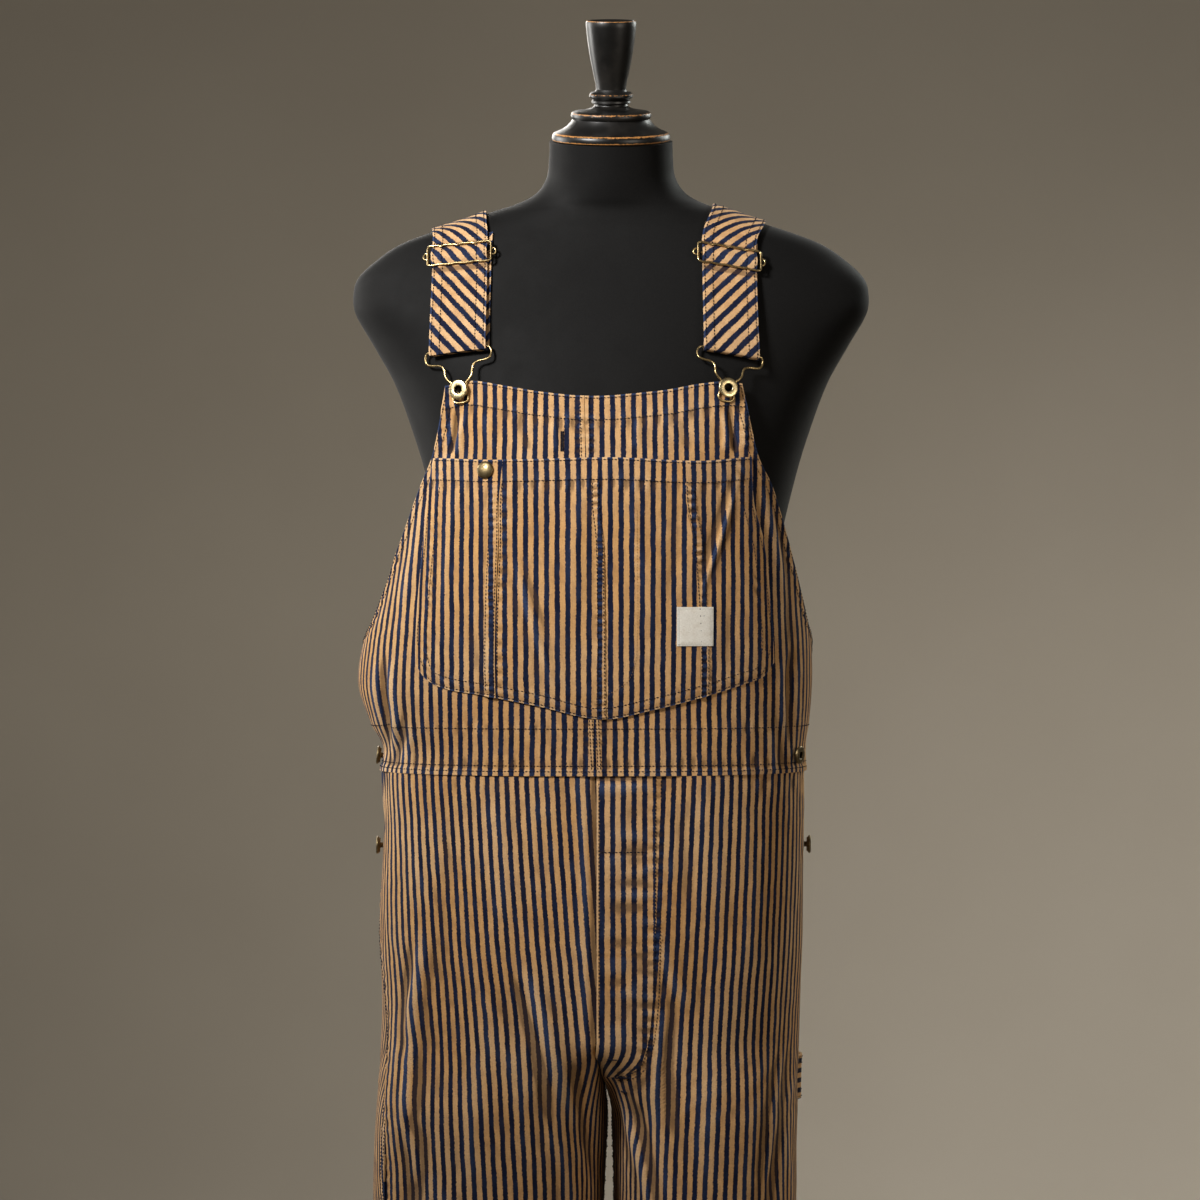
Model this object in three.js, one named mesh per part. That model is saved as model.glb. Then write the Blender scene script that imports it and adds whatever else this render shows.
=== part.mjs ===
// Bib dungarees in striped cotton, standing on a limbless dress form.
// Millimetres, +Z up, the wearer faces -Y, so the wearer's right is at -X.
// The origin is on the floor, at the middle of the round base.
import * as THREE from "three";

// ---------- driving sizes ----------
const CLOTH = 1.5; // one sewn layer of cotton
const SEAM_GAP = 0.3; // left between neighbouring pieces at a seam
const PATCH_LIFT = 0.9; // from a panel to the back of what is sewn on it
const HEM_HEIGHT = 50; // of the trouser legs
const WAIST_HEIGHT = 1100;
const ARMHOLE_HEIGHT = 1190; // lowest point of the armholes, at the sides
const BIB_TOP = 1440;
const BACK_TOP = 1392;
const CROTCH_START = 872; // the two legs begin to part here
const CROTCH_END = 790; // and are apart from here down
const SIDE_SEAM_BEHIND = 8; // degrees that the side opening lies behind the side
const WIRE = 2.2; // diameter of the wire in hooks and sliders
const BASE_RADIUS = 190;
const BASE_THICKNESS = 12;
const POLE_X = -112; // the pole runs down inside the wearer's right leg
const POLE_RADIUS = 12.5;
const NECK_TILT = 12.4; // degrees that neck, cap and finial lean forward

// ---------- colours ----------
const COLOURS = {
  cloth: { color: 0xb08a5e, roughness: 0.9, metalness: 0 },
  label: { color: 0xe6ded2, roughness: 0.85, metalness: 0 },
  brass: { color: 0xb08d4a, roughness: 0.35, metalness: 1 },
  dark_brass: { color: 0x6e5a35, roughness: 0.45, metalness: 1 },
  cover: { color: 0x242322, roughness: 0.95, metalness: 0 },
  painted_wood: { color: 0x1c1a18, roughness: 0.5, metalness: 0 },
  steel: { color: 0x2a2a2a, roughness: 0.4, metalness: 0.8 },
};

const model = new THREE.Group();

function addPiece(name, geometry, colour) {
  const mesh = new THREE.Mesh(geometry, new THREE.MeshStandardMaterial(COLOURS[colour]));
  mesh.name = name;
  model.add(mesh);
  return mesh;
}

// ---------- tables ----------
// Garment rings: farthest right and left, depth in front and behind, squareness of the oval.
const BODY_RINGS = [
  { height: 780, right: -212, left: 166, front: 131, back: 136, square: 2.4 },
  { height: 880, right: -205, left: 169, front: 134, back: 142, square: 2.4 },
  { height: 960, right: -207, left: 172, front: 134, back: 142, square: 2.4 },
  { height: 1050, right: -204, left: 173, front: 129, back: 132, square: 2.4 },
  { height: 1098, right: -206, left: 173, front: 125, back: 124, square: 2.4 },
  { height: 1120, right: -204, left: 174, front: 125, back: 122, square: 2.4 },
  { height: 1145, right: -217, left: 178, front: 127, back: 122, square: 2.35 },
  { height: 1178, right: -227, left: 181, front: 129, back: 121, square: 2.3 },
  { height: 1215, right: -222, left: 180, front: 130, back: 118, square: 2.3 },
  { height: 1250, right: -211, left: 176, front: 130, back: 116, square: 2.3 },
  { height: 1310, right: -197, left: 172, front: 128, back: 112, square: 2.3 },
  { height: 1378, right: -186, left: 181, front: 123, back: 109, square: 2.3 },
  { height: 1450, right: -198, left: 198, front: 110, back: 108, square: 2.3 },
];

// The wearer's right leg.
const RIGHT_LEG_RINGS = [
  { height: 50, right: -188, left: -42, front: 80, back: 87, square: 2.2 },
  { height: 150, right: -192, left: -38, front: 84, back: 90, square: 2.2 },
  { height: 300, right: -199, left: -31, front: 90, back: 95, square: 2.2 },
  { height: 450, right: -206, left: -22, front: 98, back: 102, square: 2.2 },
  { height: 600, right: -211, left: -13, front: 108, back: 111, square: 2.3 },
  { height: 713, right: -213.7, left: -7, front: 119, back: 122, square: 2.4 },
  { height: 780, right: -212, left: -3.5, front: 127, back: 132, square: 2.5 },
  { height: 880, right: -205, left: -1.5, front: 134, back: 142, square: 2.5 },
];

// The wearer's left leg.
const LEFT_LEG_RINGS = [
  { height: 50, right: 26, left: 157, front: 80, back: 87, square: 2.2 },
  { height: 150, right: 23, left: 158, front: 84, back: 90, square: 2.2 },
  { height: 300, right: 18, left: 160, front: 90, back: 95, square: 2.2 },
  { height: 450, right: 12, left: 162, front: 98, back: 102, square: 2.2 },
  { height: 600, right: 6, left: 164, front: 108, back: 111, square: 2.3 },
  { height: 713, right: 2.5, left: 165.6, front: 119, back: 122, square: 2.4 },
  { height: 780, right: 1, left: 166, front: 127, back: 132, square: 2.5 },
  { height: 880, right: 0, left: 169, front: 134, back: 142, square: 2.5 },
];

// Degrees that each outer leg seam lies in front of the side of the leg.
const OUTSEAMS = [
  { height: 50, right: 14, left: -4 },
  { height: 400, right: 26, left: -4 },
  { height: 713, right: 34, left: -6 },
  { height: 860, right: 30, left: -8 },
  { height: 990, right: 2, left: -8 },
  { height: 1050, right: -8, left: -8 },
  { height: 1100, right: -8, left: -8 },
];

// Edges of the bib in front and of the upper back, from the armholes up.
const BIB_EDGES = [
  { height: 1190, right: -226.5, left: 180.8 },
  { height: 1213, right: -221.5, left: 178.5 },
  { height: 1239, right: -210.5, left: 173 },
  { height: 1268, right: -199.4, left: 166 },
  { height: 1294, right: -190.8, left: 159.6 },
  { height: 1310, right: -184, left: 155.4 },
  { height: 1351, right: -168.6, left: 142 },
  { height: 1378, right: -157.5, left: 128.7 },
  { height: 1409, right: -150.5, left: 121 },
  { height: 1446, right: -144.5, left: 113 },
];
const BACK_EDGES = [
  { height: 1190, right: -226.5, left: 180.8 },
  { height: 1205, right: -219, left: 175 },
  { height: 1230, right: -196, left: 158 },
  { height: 1262, right: -160, left: 128 },
  { height: 1300, right: -127, left: 97 },
  { height: 1345, right: -103, left: 73 },
  { height: 1395, right: -92, left: 62 },
];

// Centre seam of the bib, in front.
const CENTRE_SEAM = [
  { height: 1100, x: -13 },
  { height: 1170, x: -16 },
  { height: 1446, x: -24 },
];
const FLY_X = -13;
const BACK_SEAM_X = -16;

// Height of the bib's scooped top edge, by distance across.
const BIB_TOP_EDGE = [
  { x: -146, height: 1440 },
  { x: -123, height: 1444 },
  { x: -97, height: 1440 },
  { x: -62, height: 1433.7 },
  { x: -18, height: 1429.6 },
  { x: 42, height: 1434.4 },
  { x: 77, height: 1440.7 },
  { x: 99, height: 1443 },
  { x: 115, height: 1441.5 },
];

// Bib pocket: its two side edges by height, its lower edge by share of its width.
const POCKET_SIDES = [
  { height: 1149, right: -170, left: 142 },
  { height: 1209, right: -170.5, left: 141.5 },
  { height: 1253, right: -168.5, left: 138.5 },
  { height: 1305, right: -164, left: 132.5 },
  { height: 1334, right: -161.5, left: 124.5 },
  { height: 1360, right: -158, left: 122 },
  { height: 1380, right: -154.5, left: 121.5 },
];
const POCKET_LOWER_EDGE = [
  { share: 0, height: 1197 },
  { share: 0.03, height: 1184 },
  { share: 0.085, height: 1175.5 },
  { share: 0.18, height: 1170.5 },
  { share: 0.34, height: 1161 },
  { share: 0.515, height: 1149.5 },
  { share: 0.66, height: 1157.5 },
  { share: 0.8, height: 1168.5 },
  { share: 0.92, height: 1180 },
  { share: 0.97, height: 1186 },
  { share: 1, height: 1198 },
];
const POCKET_UPPER_EDGE = [
  { share: 0, height: 1377 },
  { share: 0.2, height: 1374 },
  { share: 0.57, height: 1375.5 },
  { share: 0.83, height: 1373 },
  { share: 1, height: 1377.5 },
];
const POCKET_SEAMS = [0, 0.226, 0.53, 0.79, 1]; // shares of its width
const PENCIL_STUD = { x: -108, height: 1365 };

// Woven label on the pocket, and the band that holds a hammer on the wearer's left leg.
const LABEL = { right: 55.9, left: 87.1, low: 1212.8, high: 1246.5, thick: 1 };
const HAMMER_LOOP = { low: 797, high: 838, from: 0.005, to: 0.2, stand: 10 };

// The largest folds of the cloth: a soft ridge (+) or trough (-) from a lower to an upper point.
const FOLDS = [
  { face: "front", x1: -187, z1: 780, x2: -176, z2: 905, wide: 14, high: 5 },
  { face: "front", x1: -170, z1: 715, x2: -180, z2: 800, wide: 13, high: -5 },
  { face: "front", x1: -50, z1: 790, x2: -92, z2: 920, wide: 18, high: -5 },
  { face: "front", x1: 132, z1: 720, x2: 155, z2: 850, wide: 12, high: -5 },
  { face: "back", x1: -120, z1: 830, x2: -50, z2: 900, wide: 18, high: -6 },
  { face: "back", x1: 85, z1: 830, x2: 20, z2: 895, wide: 17, high: -5 },
  { face: "back", x1: -80, z1: 1120, x2: -60, z2: 1260, wide: 20, high: 5 },
  { face: "back", x1: 55, z1: 1110, x2: 38, z2: 1230, wide: 18, high: 5 },
];

// Dress form rings, each centred on X = 0; middle is the ring's own Y.
const FORM_RINGS = [
  { height: 868, half: 136, front: 92, back: 98, middle: 0, tilt: 0, square: 2.3 },
  { height: 876, half: 150, front: 104, back: 110, middle: 0, tilt: 0, square: 2.3 },
  { height: 895, half: 157, front: 111, back: 117, middle: 0, tilt: 0, square: 2.3 },
  { height: 960, half: 160, front: 113, back: 121, middle: 0, tilt: 0, square: 2.3 },
  { height: 1040, half: 150, front: 106, back: 110, middle: 0, tilt: 0, square: 2.25 },
  { height: 1140, half: 132, front: 98, back: 92, middle: 0, tilt: 0, square: 2.2 },
  { height: 1220, half: 138, front: 105, back: 96, middle: 0, tilt: 0, square: 2.2 },
  { height: 1300, half: 151, front: 112, back: 100, middle: 0, tilt: 0, square: 2.2 },
  { height: 1362, half: 165.6, front: 117, back: 103, middle: 0, tilt: 0, square: 2.2 },
  { height: 1397, half: 176, front: 115, back: 104, middle: 0, tilt: 0, square: 2.2 },
  { height: 1446, half: 194, front: 104, back: 101, middle: 0, tilt: 0, square: 2.2 },
  { height: 1482, half: 214, front: 92, back: 96, middle: 0, tilt: 0, square: 2.15 },
  { height: 1509, half: 229.5, front: 82, back: 90, middle: 0, tilt: 0, square: 2.1 },
  { height: 1524, half: 232, front: 76, back: 85, middle: 0, tilt: 0, square: 2.05 },
  { height: 1541, half: 228, front: 69, back: 79, middle: 0, tilt: 0, square: 2.05 },
  { height: 1557, half: 212, front: 63, back: 73, middle: 0, tilt: 0, square: 2.05 },
  { height: 1572, half: 190, front: 58, back: 67, middle: 0, tilt: 0, square: 2.05 },
  { height: 1583, half: 162, front: 55, back: 63, middle: 0, tilt: 1, square: 2.05 },
  { height: 1594, half: 128, front: 53, back: 58, middle: -1, tilt: 3, square: 2.05 },
  { height: 1602, half: 106, front: 52, back: 56, middle: -2, tilt: 5, square: 2 },
  { height: 1608, half: 86, front: 51, back: 54, middle: -4, tilt: 7, square: 2 },
  { height: 1617, half: 68, front: 51, back: 53, middle: -7, tilt: 9.5, square: 2 },
  { height: 1631, half: 58, front: 51, back: 52, middle: -11, tilt: 11.5, square: 2 },
  { height: 1648, half: 55.5, front: 51, back: 51, middle: -15, tilt: 12.4, square: 2 },
  { height: 1663, half: 55, front: 51, back: 51, middle: -18.5, tilt: 12.4, square: 2 },
];
const NECK_TOP = FORM_RINGS[FORM_RINGS.length - 1];

// Straps: the middle of each across the shoulder, and where its fold, slider and button are.
const STRAPS = [
  {
    side: "right", shoulder: -135.5, chest: -132.9, root: -62, width: 48.5,
    foldHeight: 1469.5, foldSlope: 0.08, button: { x: -131.5, height: 1435.9 }, hookTurn: 6,
  },
  {
    side: "left", shoulder: 114.5, chest: 103.5, root: 32, width: 47.5,
    foldHeight: 1466.5, foldSlope: -0.16, button: { x: 100.4, height: 1436.8 }, hookTurn: -8,
  },
];

// ---------- blending and rings ----------
const radians = THREE.MathUtils.degToRad;

function smooth(from, to, value) {
  const t = THREE.MathUtils.clamp((value - from) / (to - from), 0, 1);
  return t * t * (3 - 2 * t);
}

// Smooth values of every named column of a table, at a place along its key column.
function rowAt(table, key, place) {
  let i = 0;
  while (i < table.length - 2 && table[i + 1][key] < place) i += 1;
  const before = table[Math.max(i - 1, 0)];
  const low = table[i];
  const high = table[i + 1];
  const after = table[Math.min(i + 2, table.length - 1)];
  const span = high[key] - low[key];
  const t = THREE.MathUtils.clamp((place - low[key]) / span, 0, 1);
  const row = {};
  for (const name of Object.keys(low)) {
    const slopeLow = ((high[name] - before[name]) / (high[key] - before[key])) * span;
    const slopeHigh = ((after[name] - low[name]) / (after[key] - low[key])) * span;
    const rise = high[name] - low[name];
    const bend = slopeLow + slopeHigh - 2 * rise;
    const turn = 3 * rise - 2 * slopeLow - slopeHigh;
    row[name] = low[name] + t * (slopeLow + t * (turn + t * bend));
  }
  return row;
}

// Point on an oval ring: 0 degrees at +X, -90 in front, 90 behind.
function ringPoint(ring, degrees, height) {
  const across = Math.cos(radians(degrees));
  const along = Math.sin(radians(degrees));
  const middle = (ring.left + ring.right) / 2;
  const half = (ring.left - ring.right) / 2;
  const power = 2 / ring.square;
  const depth = along < 0 ? ring.front : ring.back;
  return new THREE.Vector3(
    middle + half * Math.sign(across) * Math.abs(across) ** power,
    depth * Math.sign(along) * Math.abs(along) ** power,
    height,
  );
}

// The angle at which a ring's front (or back) reaches a place across.
function ringAngle(ring, x, face) {
  const middle = (ring.left + ring.right) / 2;
  const half = (ring.left - ring.right) / 2;
  const share = THREE.MathUtils.clamp((x - middle) / half, -1, 1);
  const across = Math.sign(share) * Math.abs(share) ** (ring.square / 2);
  const degrees = THREE.MathUtils.radToDeg(Math.acos(across));
  return face === "front" ? -degrees : degrees;
}

// Outward normal of any surface given by two numbers.
function surfaceNormal(surface, a, b, stepA, stepB) {
  const alongA = surface(a + stepA, b).sub(surface(a - stepA, b));
  const alongB = surface(a, b + stepB).sub(surface(a, b - stepB));
  return alongA.cross(alongB).normalize();
}

// How far the folds push the cloth out at a point that faces a given way.
function foldHeight(point, normal) {
  let sum = 0;
  for (const fold of FOLDS) {
    const facing = fold.face === "front" ? -normal.y : normal.y;
    if (facing <= 0) continue;
    const run = new THREE.Vector2(fold.x2 - fold.x1, fold.z2 - fold.z1);
    const from = new THREE.Vector2(point.x - fold.x1, point.z - fold.z1);
    const share = from.dot(run) / run.lengthSq();
    const off = Math.abs(from.cross(run)) / run.length();
    const ends = smooth(-0.25, 0.3, share) * smooth(1.25, 0.7, share);
    sum += fold.high * ends * Math.exp(-((off / fold.wide) ** 2)) * smooth(0, 0.6, facing);
  }
  return sum;
}

function liftedPoint(surface, a, b, stepA, stepB, lift) {
  const point = surface(a, b);
  const normal = surfaceNormal(surface, a, b, stepA, stepB);
  return point.addScaledVector(normal, lift + foldHeight(point, normal));
}

// Outer face of the upper garment.
function bodyBase(degrees, height) {
  return ringPoint(rowAt(BODY_RINGS, "height", height), degrees, height);
}

function bodyPoint(degrees, height, lift = 0) {
  return liftedPoint(bodyBase, degrees, height, 0.5, 0.5, lift);
}

// Point on the front of the garment, given by its distance across and its height.
function frontPoint(x, height, lift = 0) {
  const ring = rowAt(BODY_RINGS, "height", height);
  return bodyPoint(ringAngle(ring, x, "front"), height, lift);
}

// ---------- solids from grids ----------
// A closed wall: its outer face follows surface(u, v), its inner face lies thickness inside.
function wall(surface, us, vs, thickness) {
  const columns = us.length;
  const rows = vs.length;
  const positions = [];
  for (const inside of [0, thickness]) {
    for (const v of vs) {
      for (const u of us) {
        const normal = surfaceNormal(surface, u, v, 1e-3, 1e-3);
        const point = surface(u, v).addScaledVector(normal, -inside);
        positions.push(point.x, point.y, point.z);
      }
    }
  }
  const outer = (i, j) => j * columns + i;
  const inner = (i, j) => rows * columns + j * columns + i;
  const index = [];
  const quad = (a, b, c, d) => index.push(a, b, c, a, c, d);
  for (let j = 0; j < rows - 1; j += 1) {
    for (let i = 0; i < columns - 1; i += 1) {
      quad(outer(i, j), outer(i + 1, j), outer(i + 1, j + 1), outer(i, j + 1));
      quad(inner(i, j), inner(i, j + 1), inner(i + 1, j + 1), inner(i + 1, j));
    }
    quad(outer(0, j), outer(0, j + 1), inner(0, j + 1), inner(0, j));
    const last = columns - 1;
    quad(outer(last, j + 1), outer(last, j), inner(last, j), inner(last, j + 1));
  }
  for (let i = 0; i < columns - 1; i += 1) {
    quad(outer(i + 1, 0), outer(i, 0), inner(i, 0), inner(i + 1, 0));
    const top = rows - 1;
    quad(outer(i, top), outer(i + 1, top), inner(i + 1, top), inner(i, top));
  }
  const geometry = new THREE.BufferGeometry();
  geometry.setAttribute("position", new THREE.Float32BufferAttribute(positions, 3));
  geometry.setIndex(index);
  return geometry;
}

function steps(count, from = 0, to = 1) {
  return Array.from({ length: count + 1 }, (_, i) => from + ((to - from) * i) / count);
}

// Rings of points closed at both ends by flat fans: a solid of the rings' shape.
function ringSolid(ringOf, heights, segments) {
  const positions = [];
  const index = [];
  for (const height of heights) {
    for (let i = 0; i < segments; i += 1) {
      const point = ringOf(height, (360 * i) / segments);
      positions.push(point.x, point.y, point.z);
    }
  }
  const at = (i, j) => j * segments + (i % segments);
  for (let j = 0; j < heights.length - 1; j += 1) {
    for (let i = 0; i < segments; i += 1) {
      index.push(at(i, j), at(i + 1, j), at(i + 1, j + 1));
      index.push(at(i, j), at(i + 1, j + 1), at(i, j + 1));
    }
  }
  const top = heights.length - 1;
  for (let i = 1; i < segments - 1; i += 1) {
    index.push(at(0, 0), at(i + 1, 0), at(i, 0));
    index.push(at(0, top), at(i, top), at(i + 1, top));
  }
  const geometry = new THREE.BufferGeometry();
  geometry.setAttribute("position", new THREE.Float32BufferAttribute(positions, 3));
  geometry.setIndex(index);
  return geometry;
}

// A turned solid about +Z; its profile starts and ends on the axis.
function turned(profile, segments) {
  const points = profile.map(([radius, height]) => new THREE.Vector2(radius, height));
  const geometry = new THREE.LatheGeometry(points, segments);
  geometry.rotateX(Math.PI / 2);
  return geometry;
}

// A round wire along a curve, open at both ends.
function wire(points, pathSteps) {
  const section = new THREE.Shape();
  const sides = 6;
  for (let i = 0; i < sides; i += 1) {
    const turn = (2 * Math.PI * i) / sides;
    const x = (WIRE / 2) * Math.cos(turn);
    const y = (WIRE / 2) * Math.sin(turn);
    if (i === 0) section.moveTo(x, y);
    else section.lineTo(x, y);
  }
  section.closePath();
  const path = new THREE.CatmullRomCurve3(points, false, "centripetal");
  return new THREE.ExtrudeGeometry(section, { steps: pathSteps, extrudePath: path });
}

// ---------- dress form ----------
function formRingPoint(height, degrees) {
  const row = rowAt(FORM_RINGS, "height", height);
  const flat = ringPoint({ ...row, left: row.half, right: -row.half }, degrees, 0);
  const lean = radians(row.tilt);
  return new THREE.Vector3(
    flat.x,
    row.middle + flat.y * Math.cos(lean),
    height + flat.y * Math.sin(lean),
  );
}

function addDressForm() {
  const heights = FORM_RINGS.map((row) => row.height);
  heights.splice(3, 0, 925);
  heights.splice(6, 0, 1090);
  addPiece("form_torso", ringSolid(formRingPoint, heights, 26), "cover");

  const cap = turned([
    [0, 0], [51, 0], [52.5, 2], [52.5, 6], [50, 8], [43, 11], [35, 18], [33.5, 21.5],
    [33.5, 30], [31, 33], [0, 33],
  ], 20);
  const finial = turned([
    [0, 33.3], [18, 33.3], [19.5, 37], [17.5, 41.5], [13.5, 43], [13, 47], [15.5, 58],
    [19, 76], [22, 96], [22.6, 103], [21.5, 106], [0, 107],
  ], 14);
  for (const [name, geometry] of [["neck_cap", cap], ["neck_finial", finial]]) {
    const piece = addPiece(name, geometry, "painted_wood");
    piece.rotation.x = radians(NECK_TILT);
    const seat = new THREE.Vector3(0, 0, SEAM_GAP).applyEuler(piece.rotation);
    piece.position.set(0, NECK_TOP.middle, NECK_TOP.height).add(seat);
  }

  const underside = FORM_RINGS[0].height - SEAM_GAP;
  const socketHeight = 34;
  const socketBottom = underside - socketHeight;
  const socket = turned([
    [0, 0], [20, 0], [20, 24], [40, 28], [40, socketHeight], [0, socketHeight],
  ], 16);
  addPiece("stand_socket", socket, "steel").position.set(POLE_X, 0, socketBottom);

  const poleFoot = BASE_THICKNESS + SEAM_GAP;
  const poleLength = socketBottom - SEAM_GAP - poleFoot;
  const pole = turned([
    [0, 0], [30, 0], [30, 6], [18, 10], [POLE_RADIUS, 14], [POLE_RADIUS, poleLength],
    [0, poleLength],
  ], 16);
  addPiece("stand_pole", pole, "steel").position.set(POLE_X, 0, poleFoot);

  const base = turned([
    [0, 0], [BASE_RADIUS - 2, 0], [BASE_RADIUS, 2], [BASE_RADIUS, BASE_THICKNESS - 3],
    [BASE_RADIUS - 3, BASE_THICKNESS], [0, BASE_THICKNESS],
  ], 32);
  addPiece("stand_base", base, "steel");
}

// ---------- upper garment ----------
const LOWER_ROWS = [WAIST_HEIGHT, 1112, 1126, 1142, 1158, 1174, ARMHOLE_HEIGHT];
const UPPER_ROWS = 9;

// Angle of the open edge of the bib or upper back; below the armhole it is the side seam.
function edgeAngle(edges, height, side, face) {
  const ring = rowAt(BODY_RINGS, "height", height);
  const x = rowAt(edges, "height", Math.max(height, ARMHOLE_HEIGHT))[side];
  const sign = side === "right" ? -1 : 1;
  const seam = face === "front" ? sign * (90 + SIDE_SEAM_BEHIND) : sign * (90 - SIDE_SEAM_BEHIND);
  const fromMiddle = ringAngle(ring, x, face) + (face === "front" ? 90 : -90);
  const own = face === "front" ? fromMiddle : -fromMiddle;
  return THREE.MathUtils.lerp(seam, own, smooth(ARMHOLE_HEIGHT, ARMHOLE_HEIGHT + 45, height));
}

// Half of the bib or of the upper back. u runs from the wearer's right to left as seen in
// front, v counts the rows: the waist at 0, the top edge at the last.
function upperHalf(side, face) {
  const edges = face === "front" ? BIB_EDGES : BACK_EDGES;
  const middleX = (height) =>
    face === "front" ? rowAt(CENTRE_SEAM, "height", height).x : BACK_SEAM_X;
  const topHeight = (x) => {
    if (face === "front") return rowAt(BIB_TOP_EDGE, "x", x).height;
    return BACK_TOP + 6 * ((x - BACK_SEAM_X) / 75) ** 2;
  };
  const angleAt = (u, height, inset) => {
    const ring = rowAt(BODY_RINGS, "height", height);
    const half = (ring.left - ring.right) / 2;
    const gap = inset * THREE.MathUtils.radToDeg(SEAM_GAP / 2 / half);
    const turn = face === "front" ? 90 : -90;
    const middle = ringAngle(ring, middleX(height), face) + turn;
    const centre = face === "front" ? middle : -middle;
    const edge = edgeAngle(edges, height, side, face);
    const from = side === "right" ? edge + gap : centre + gap;
    const to = side === "right" ? centre - gap : edge - gap;
    return THREE.MathUtils.lerp(from, to, u);
  };
  const rows = LOWER_ROWS.length - 1;
  return (u, v) => {
    const uTop = angleAt(u, face === "front" ? BIB_TOP : BACK_TOP, 1);
    const frameTop = face === "front" ? uTop - 90 : 90 - uTop;
    const ringTop = rowAt(BODY_RINGS, "height", face === "front" ? BIB_TOP : BACK_TOP);
    const top = topHeight(ringPoint(ringTop, frameTop, 0).x);
    let height = 0;
    if (v < rows) {
      const row = THREE.MathUtils.clamp(Math.floor(v), 0, rows - 1);
      height = THREE.MathUtils.lerp(LOWER_ROWS[row], LOWER_ROWS[row + 1], v - row);
    } else {
      height = THREE.MathUtils.lerp(ARMHOLE_HEIGHT, top, (v - rows) / UPPER_ROWS);
    }
    height += v < 0.5 ? SEAM_GAP / 2 : 0;
    const fromMiddle = angleAt(u, height, 1);
    return bodyPoint(face === "front" ? fromMiddle - 90 : 90 - fromMiddle, height);
  };
}

// The back is seen from behind, so its u is turned to keep the face outward.
function facingOut(surface, face) {
  return face === "front" ? surface : (u, v) => surface(1 - u, v);
}

function addUpperGarment() {
  const vs = steps(LOWER_ROWS.length - 1 + UPPER_ROWS, 0, LOWER_ROWS.length - 1 + UPPER_ROWS);
  for (const side of ["right", "left"]) {
    const bib = facingOut(upperHalf(side, "front"), "front");
    addPiece(`bib_${side}`, wall(bib, steps(14), vs, CLOTH), "cloth");
    const back = facingOut(upperHalf(side, "back"), "back");
    addPiece(`upper_back_${side}`, wall(back, steps(9), vs, CLOTH), "cloth");
  }
}

// ---------- bib pocket and label ----------
function pocketPoint(share, v, lift) {
  const low = rowAt(POCKET_LOWER_EDGE, "share", share).height;
  const high = rowAt(POCKET_UPPER_EDGE, "share", share).height;
  const height = THREE.MathUtils.lerp(low, high, v);
  const sides = rowAt(POCKET_SIDES, "height", height);
  return frontPoint(THREE.MathUtils.lerp(sides.right, sides.left, share), height, lift);
}

function addPocket() {
  const parts = [
    { name: "bib_pocket_pencil", columns: 4 },
    { name: "bib_pocket_right", columns: 5 },
    { name: "bib_pocket_left", columns: 5 },
    { name: "bib_pocket_end", columns: 4 },
  ];
  const lift = PATCH_LIFT + CLOTH;
  const width = POCKET_SIDES[0].left - POCKET_SIDES[0].right;
  const inset = SEAM_GAP / 2 / width;
  parts.forEach(({ name, columns }, i) => {
    const us = steps(columns, POCKET_SEAMS[i] + inset, POCKET_SEAMS[i + 1] - inset);
    addPiece(name, wall((u, v) => pocketPoint(u, v, lift), us, steps(9), CLOTH), "cloth");
  });

  const labelLift = lift + PATCH_LIFT + LABEL.thick;
  const labelPoint = (u, v) =>
    frontPoint(
      THREE.MathUtils.lerp(LABEL.right, LABEL.left, u),
      THREE.MathUtils.lerp(LABEL.low, LABEL.high, v),
      labelLift,
    );
  addPiece("label", wall(labelPoint, steps(3), steps(3), LABEL.thick), "label");
}

// ---------- legs ----------
const LEG_ROWS = [
  HEM_HEIGHT, 150, 260, 370, 480, 590, 680, 740, 775, 795, 812, 828, 845, 862, 885, 920, 960, 1005,
  1055, WAIST_HEIGHT - SEAM_GAP / 2,
];

// Front or back of one trouser leg. Down to the crotch the two legs share the garment's
// ring, and below it each has its own; a point keeps its share of the leg's width in both.
function legBase(side, face) {
  const rings = side === "right" ? RIGHT_LEG_RINGS : LEFT_LEG_RINGS;
  const outer = side;
  const inner = side === "right" ? "left" : "right";
  const sign = side === "right" ? -1 : 1;
  const turn = face === "front" ? -90 : 90;
  const flip = face === "front" ? 1 : -1;
  const seamX = (face === "front" ? FLY_X : BACK_SEAM_X) + sign * (SEAM_GAP / 2);
  return (u, height) => {
    const body = rowAt(BODY_RINGS, "height", height);
    const leg = rowAt(rings, "height", height);
    const gap = THREE.MathUtils.radToDeg(SEAM_GAP / (leg.left - leg.right));
    const forward = rowAt(OUTSEAMS, "height", height)[side] * flip;
    const outseam = sign * (90 - forward - gap);
    const inseam = -sign * (90 - gap);
    const from = side === "right" ? outseam : inseam;
    const to = side === "right" ? inseam : outseam;
    const degrees = turn + flip * THREE.MathUtils.lerp(from, to, u);
    const own = ringPoint(leg, degrees, height);
    const share = (own.x - leg[outer]) / (leg[inner] - leg[outer]);
    const x = THREE.MathUtils.lerp(body[outer], seamX, share);
    const half = Math.sin(radians(degrees)) < 0 ? "front" : "back";
    const shared = ringPoint(body, ringAngle(body, x, half), height);
    return shared.lerp(own, smooth(CROTCH_START, CROTCH_END, height));
  };
}

function legPanel(side, face) {
  const base = facingOut(legBase(side, face), face);
  return (u, height, lift = 0) => liftedPoint(base, u, height, 1e-3, 0.5, lift);
}

function addLegs() {
  for (const side of ["right", "left"]) {
    for (const face of ["front", "back"]) {
      addPiece(`leg_${face}_${side}`, wall(legPanel(side, face), steps(9), LEG_ROWS, CLOTH), "cloth");
    }
  }
}

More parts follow.
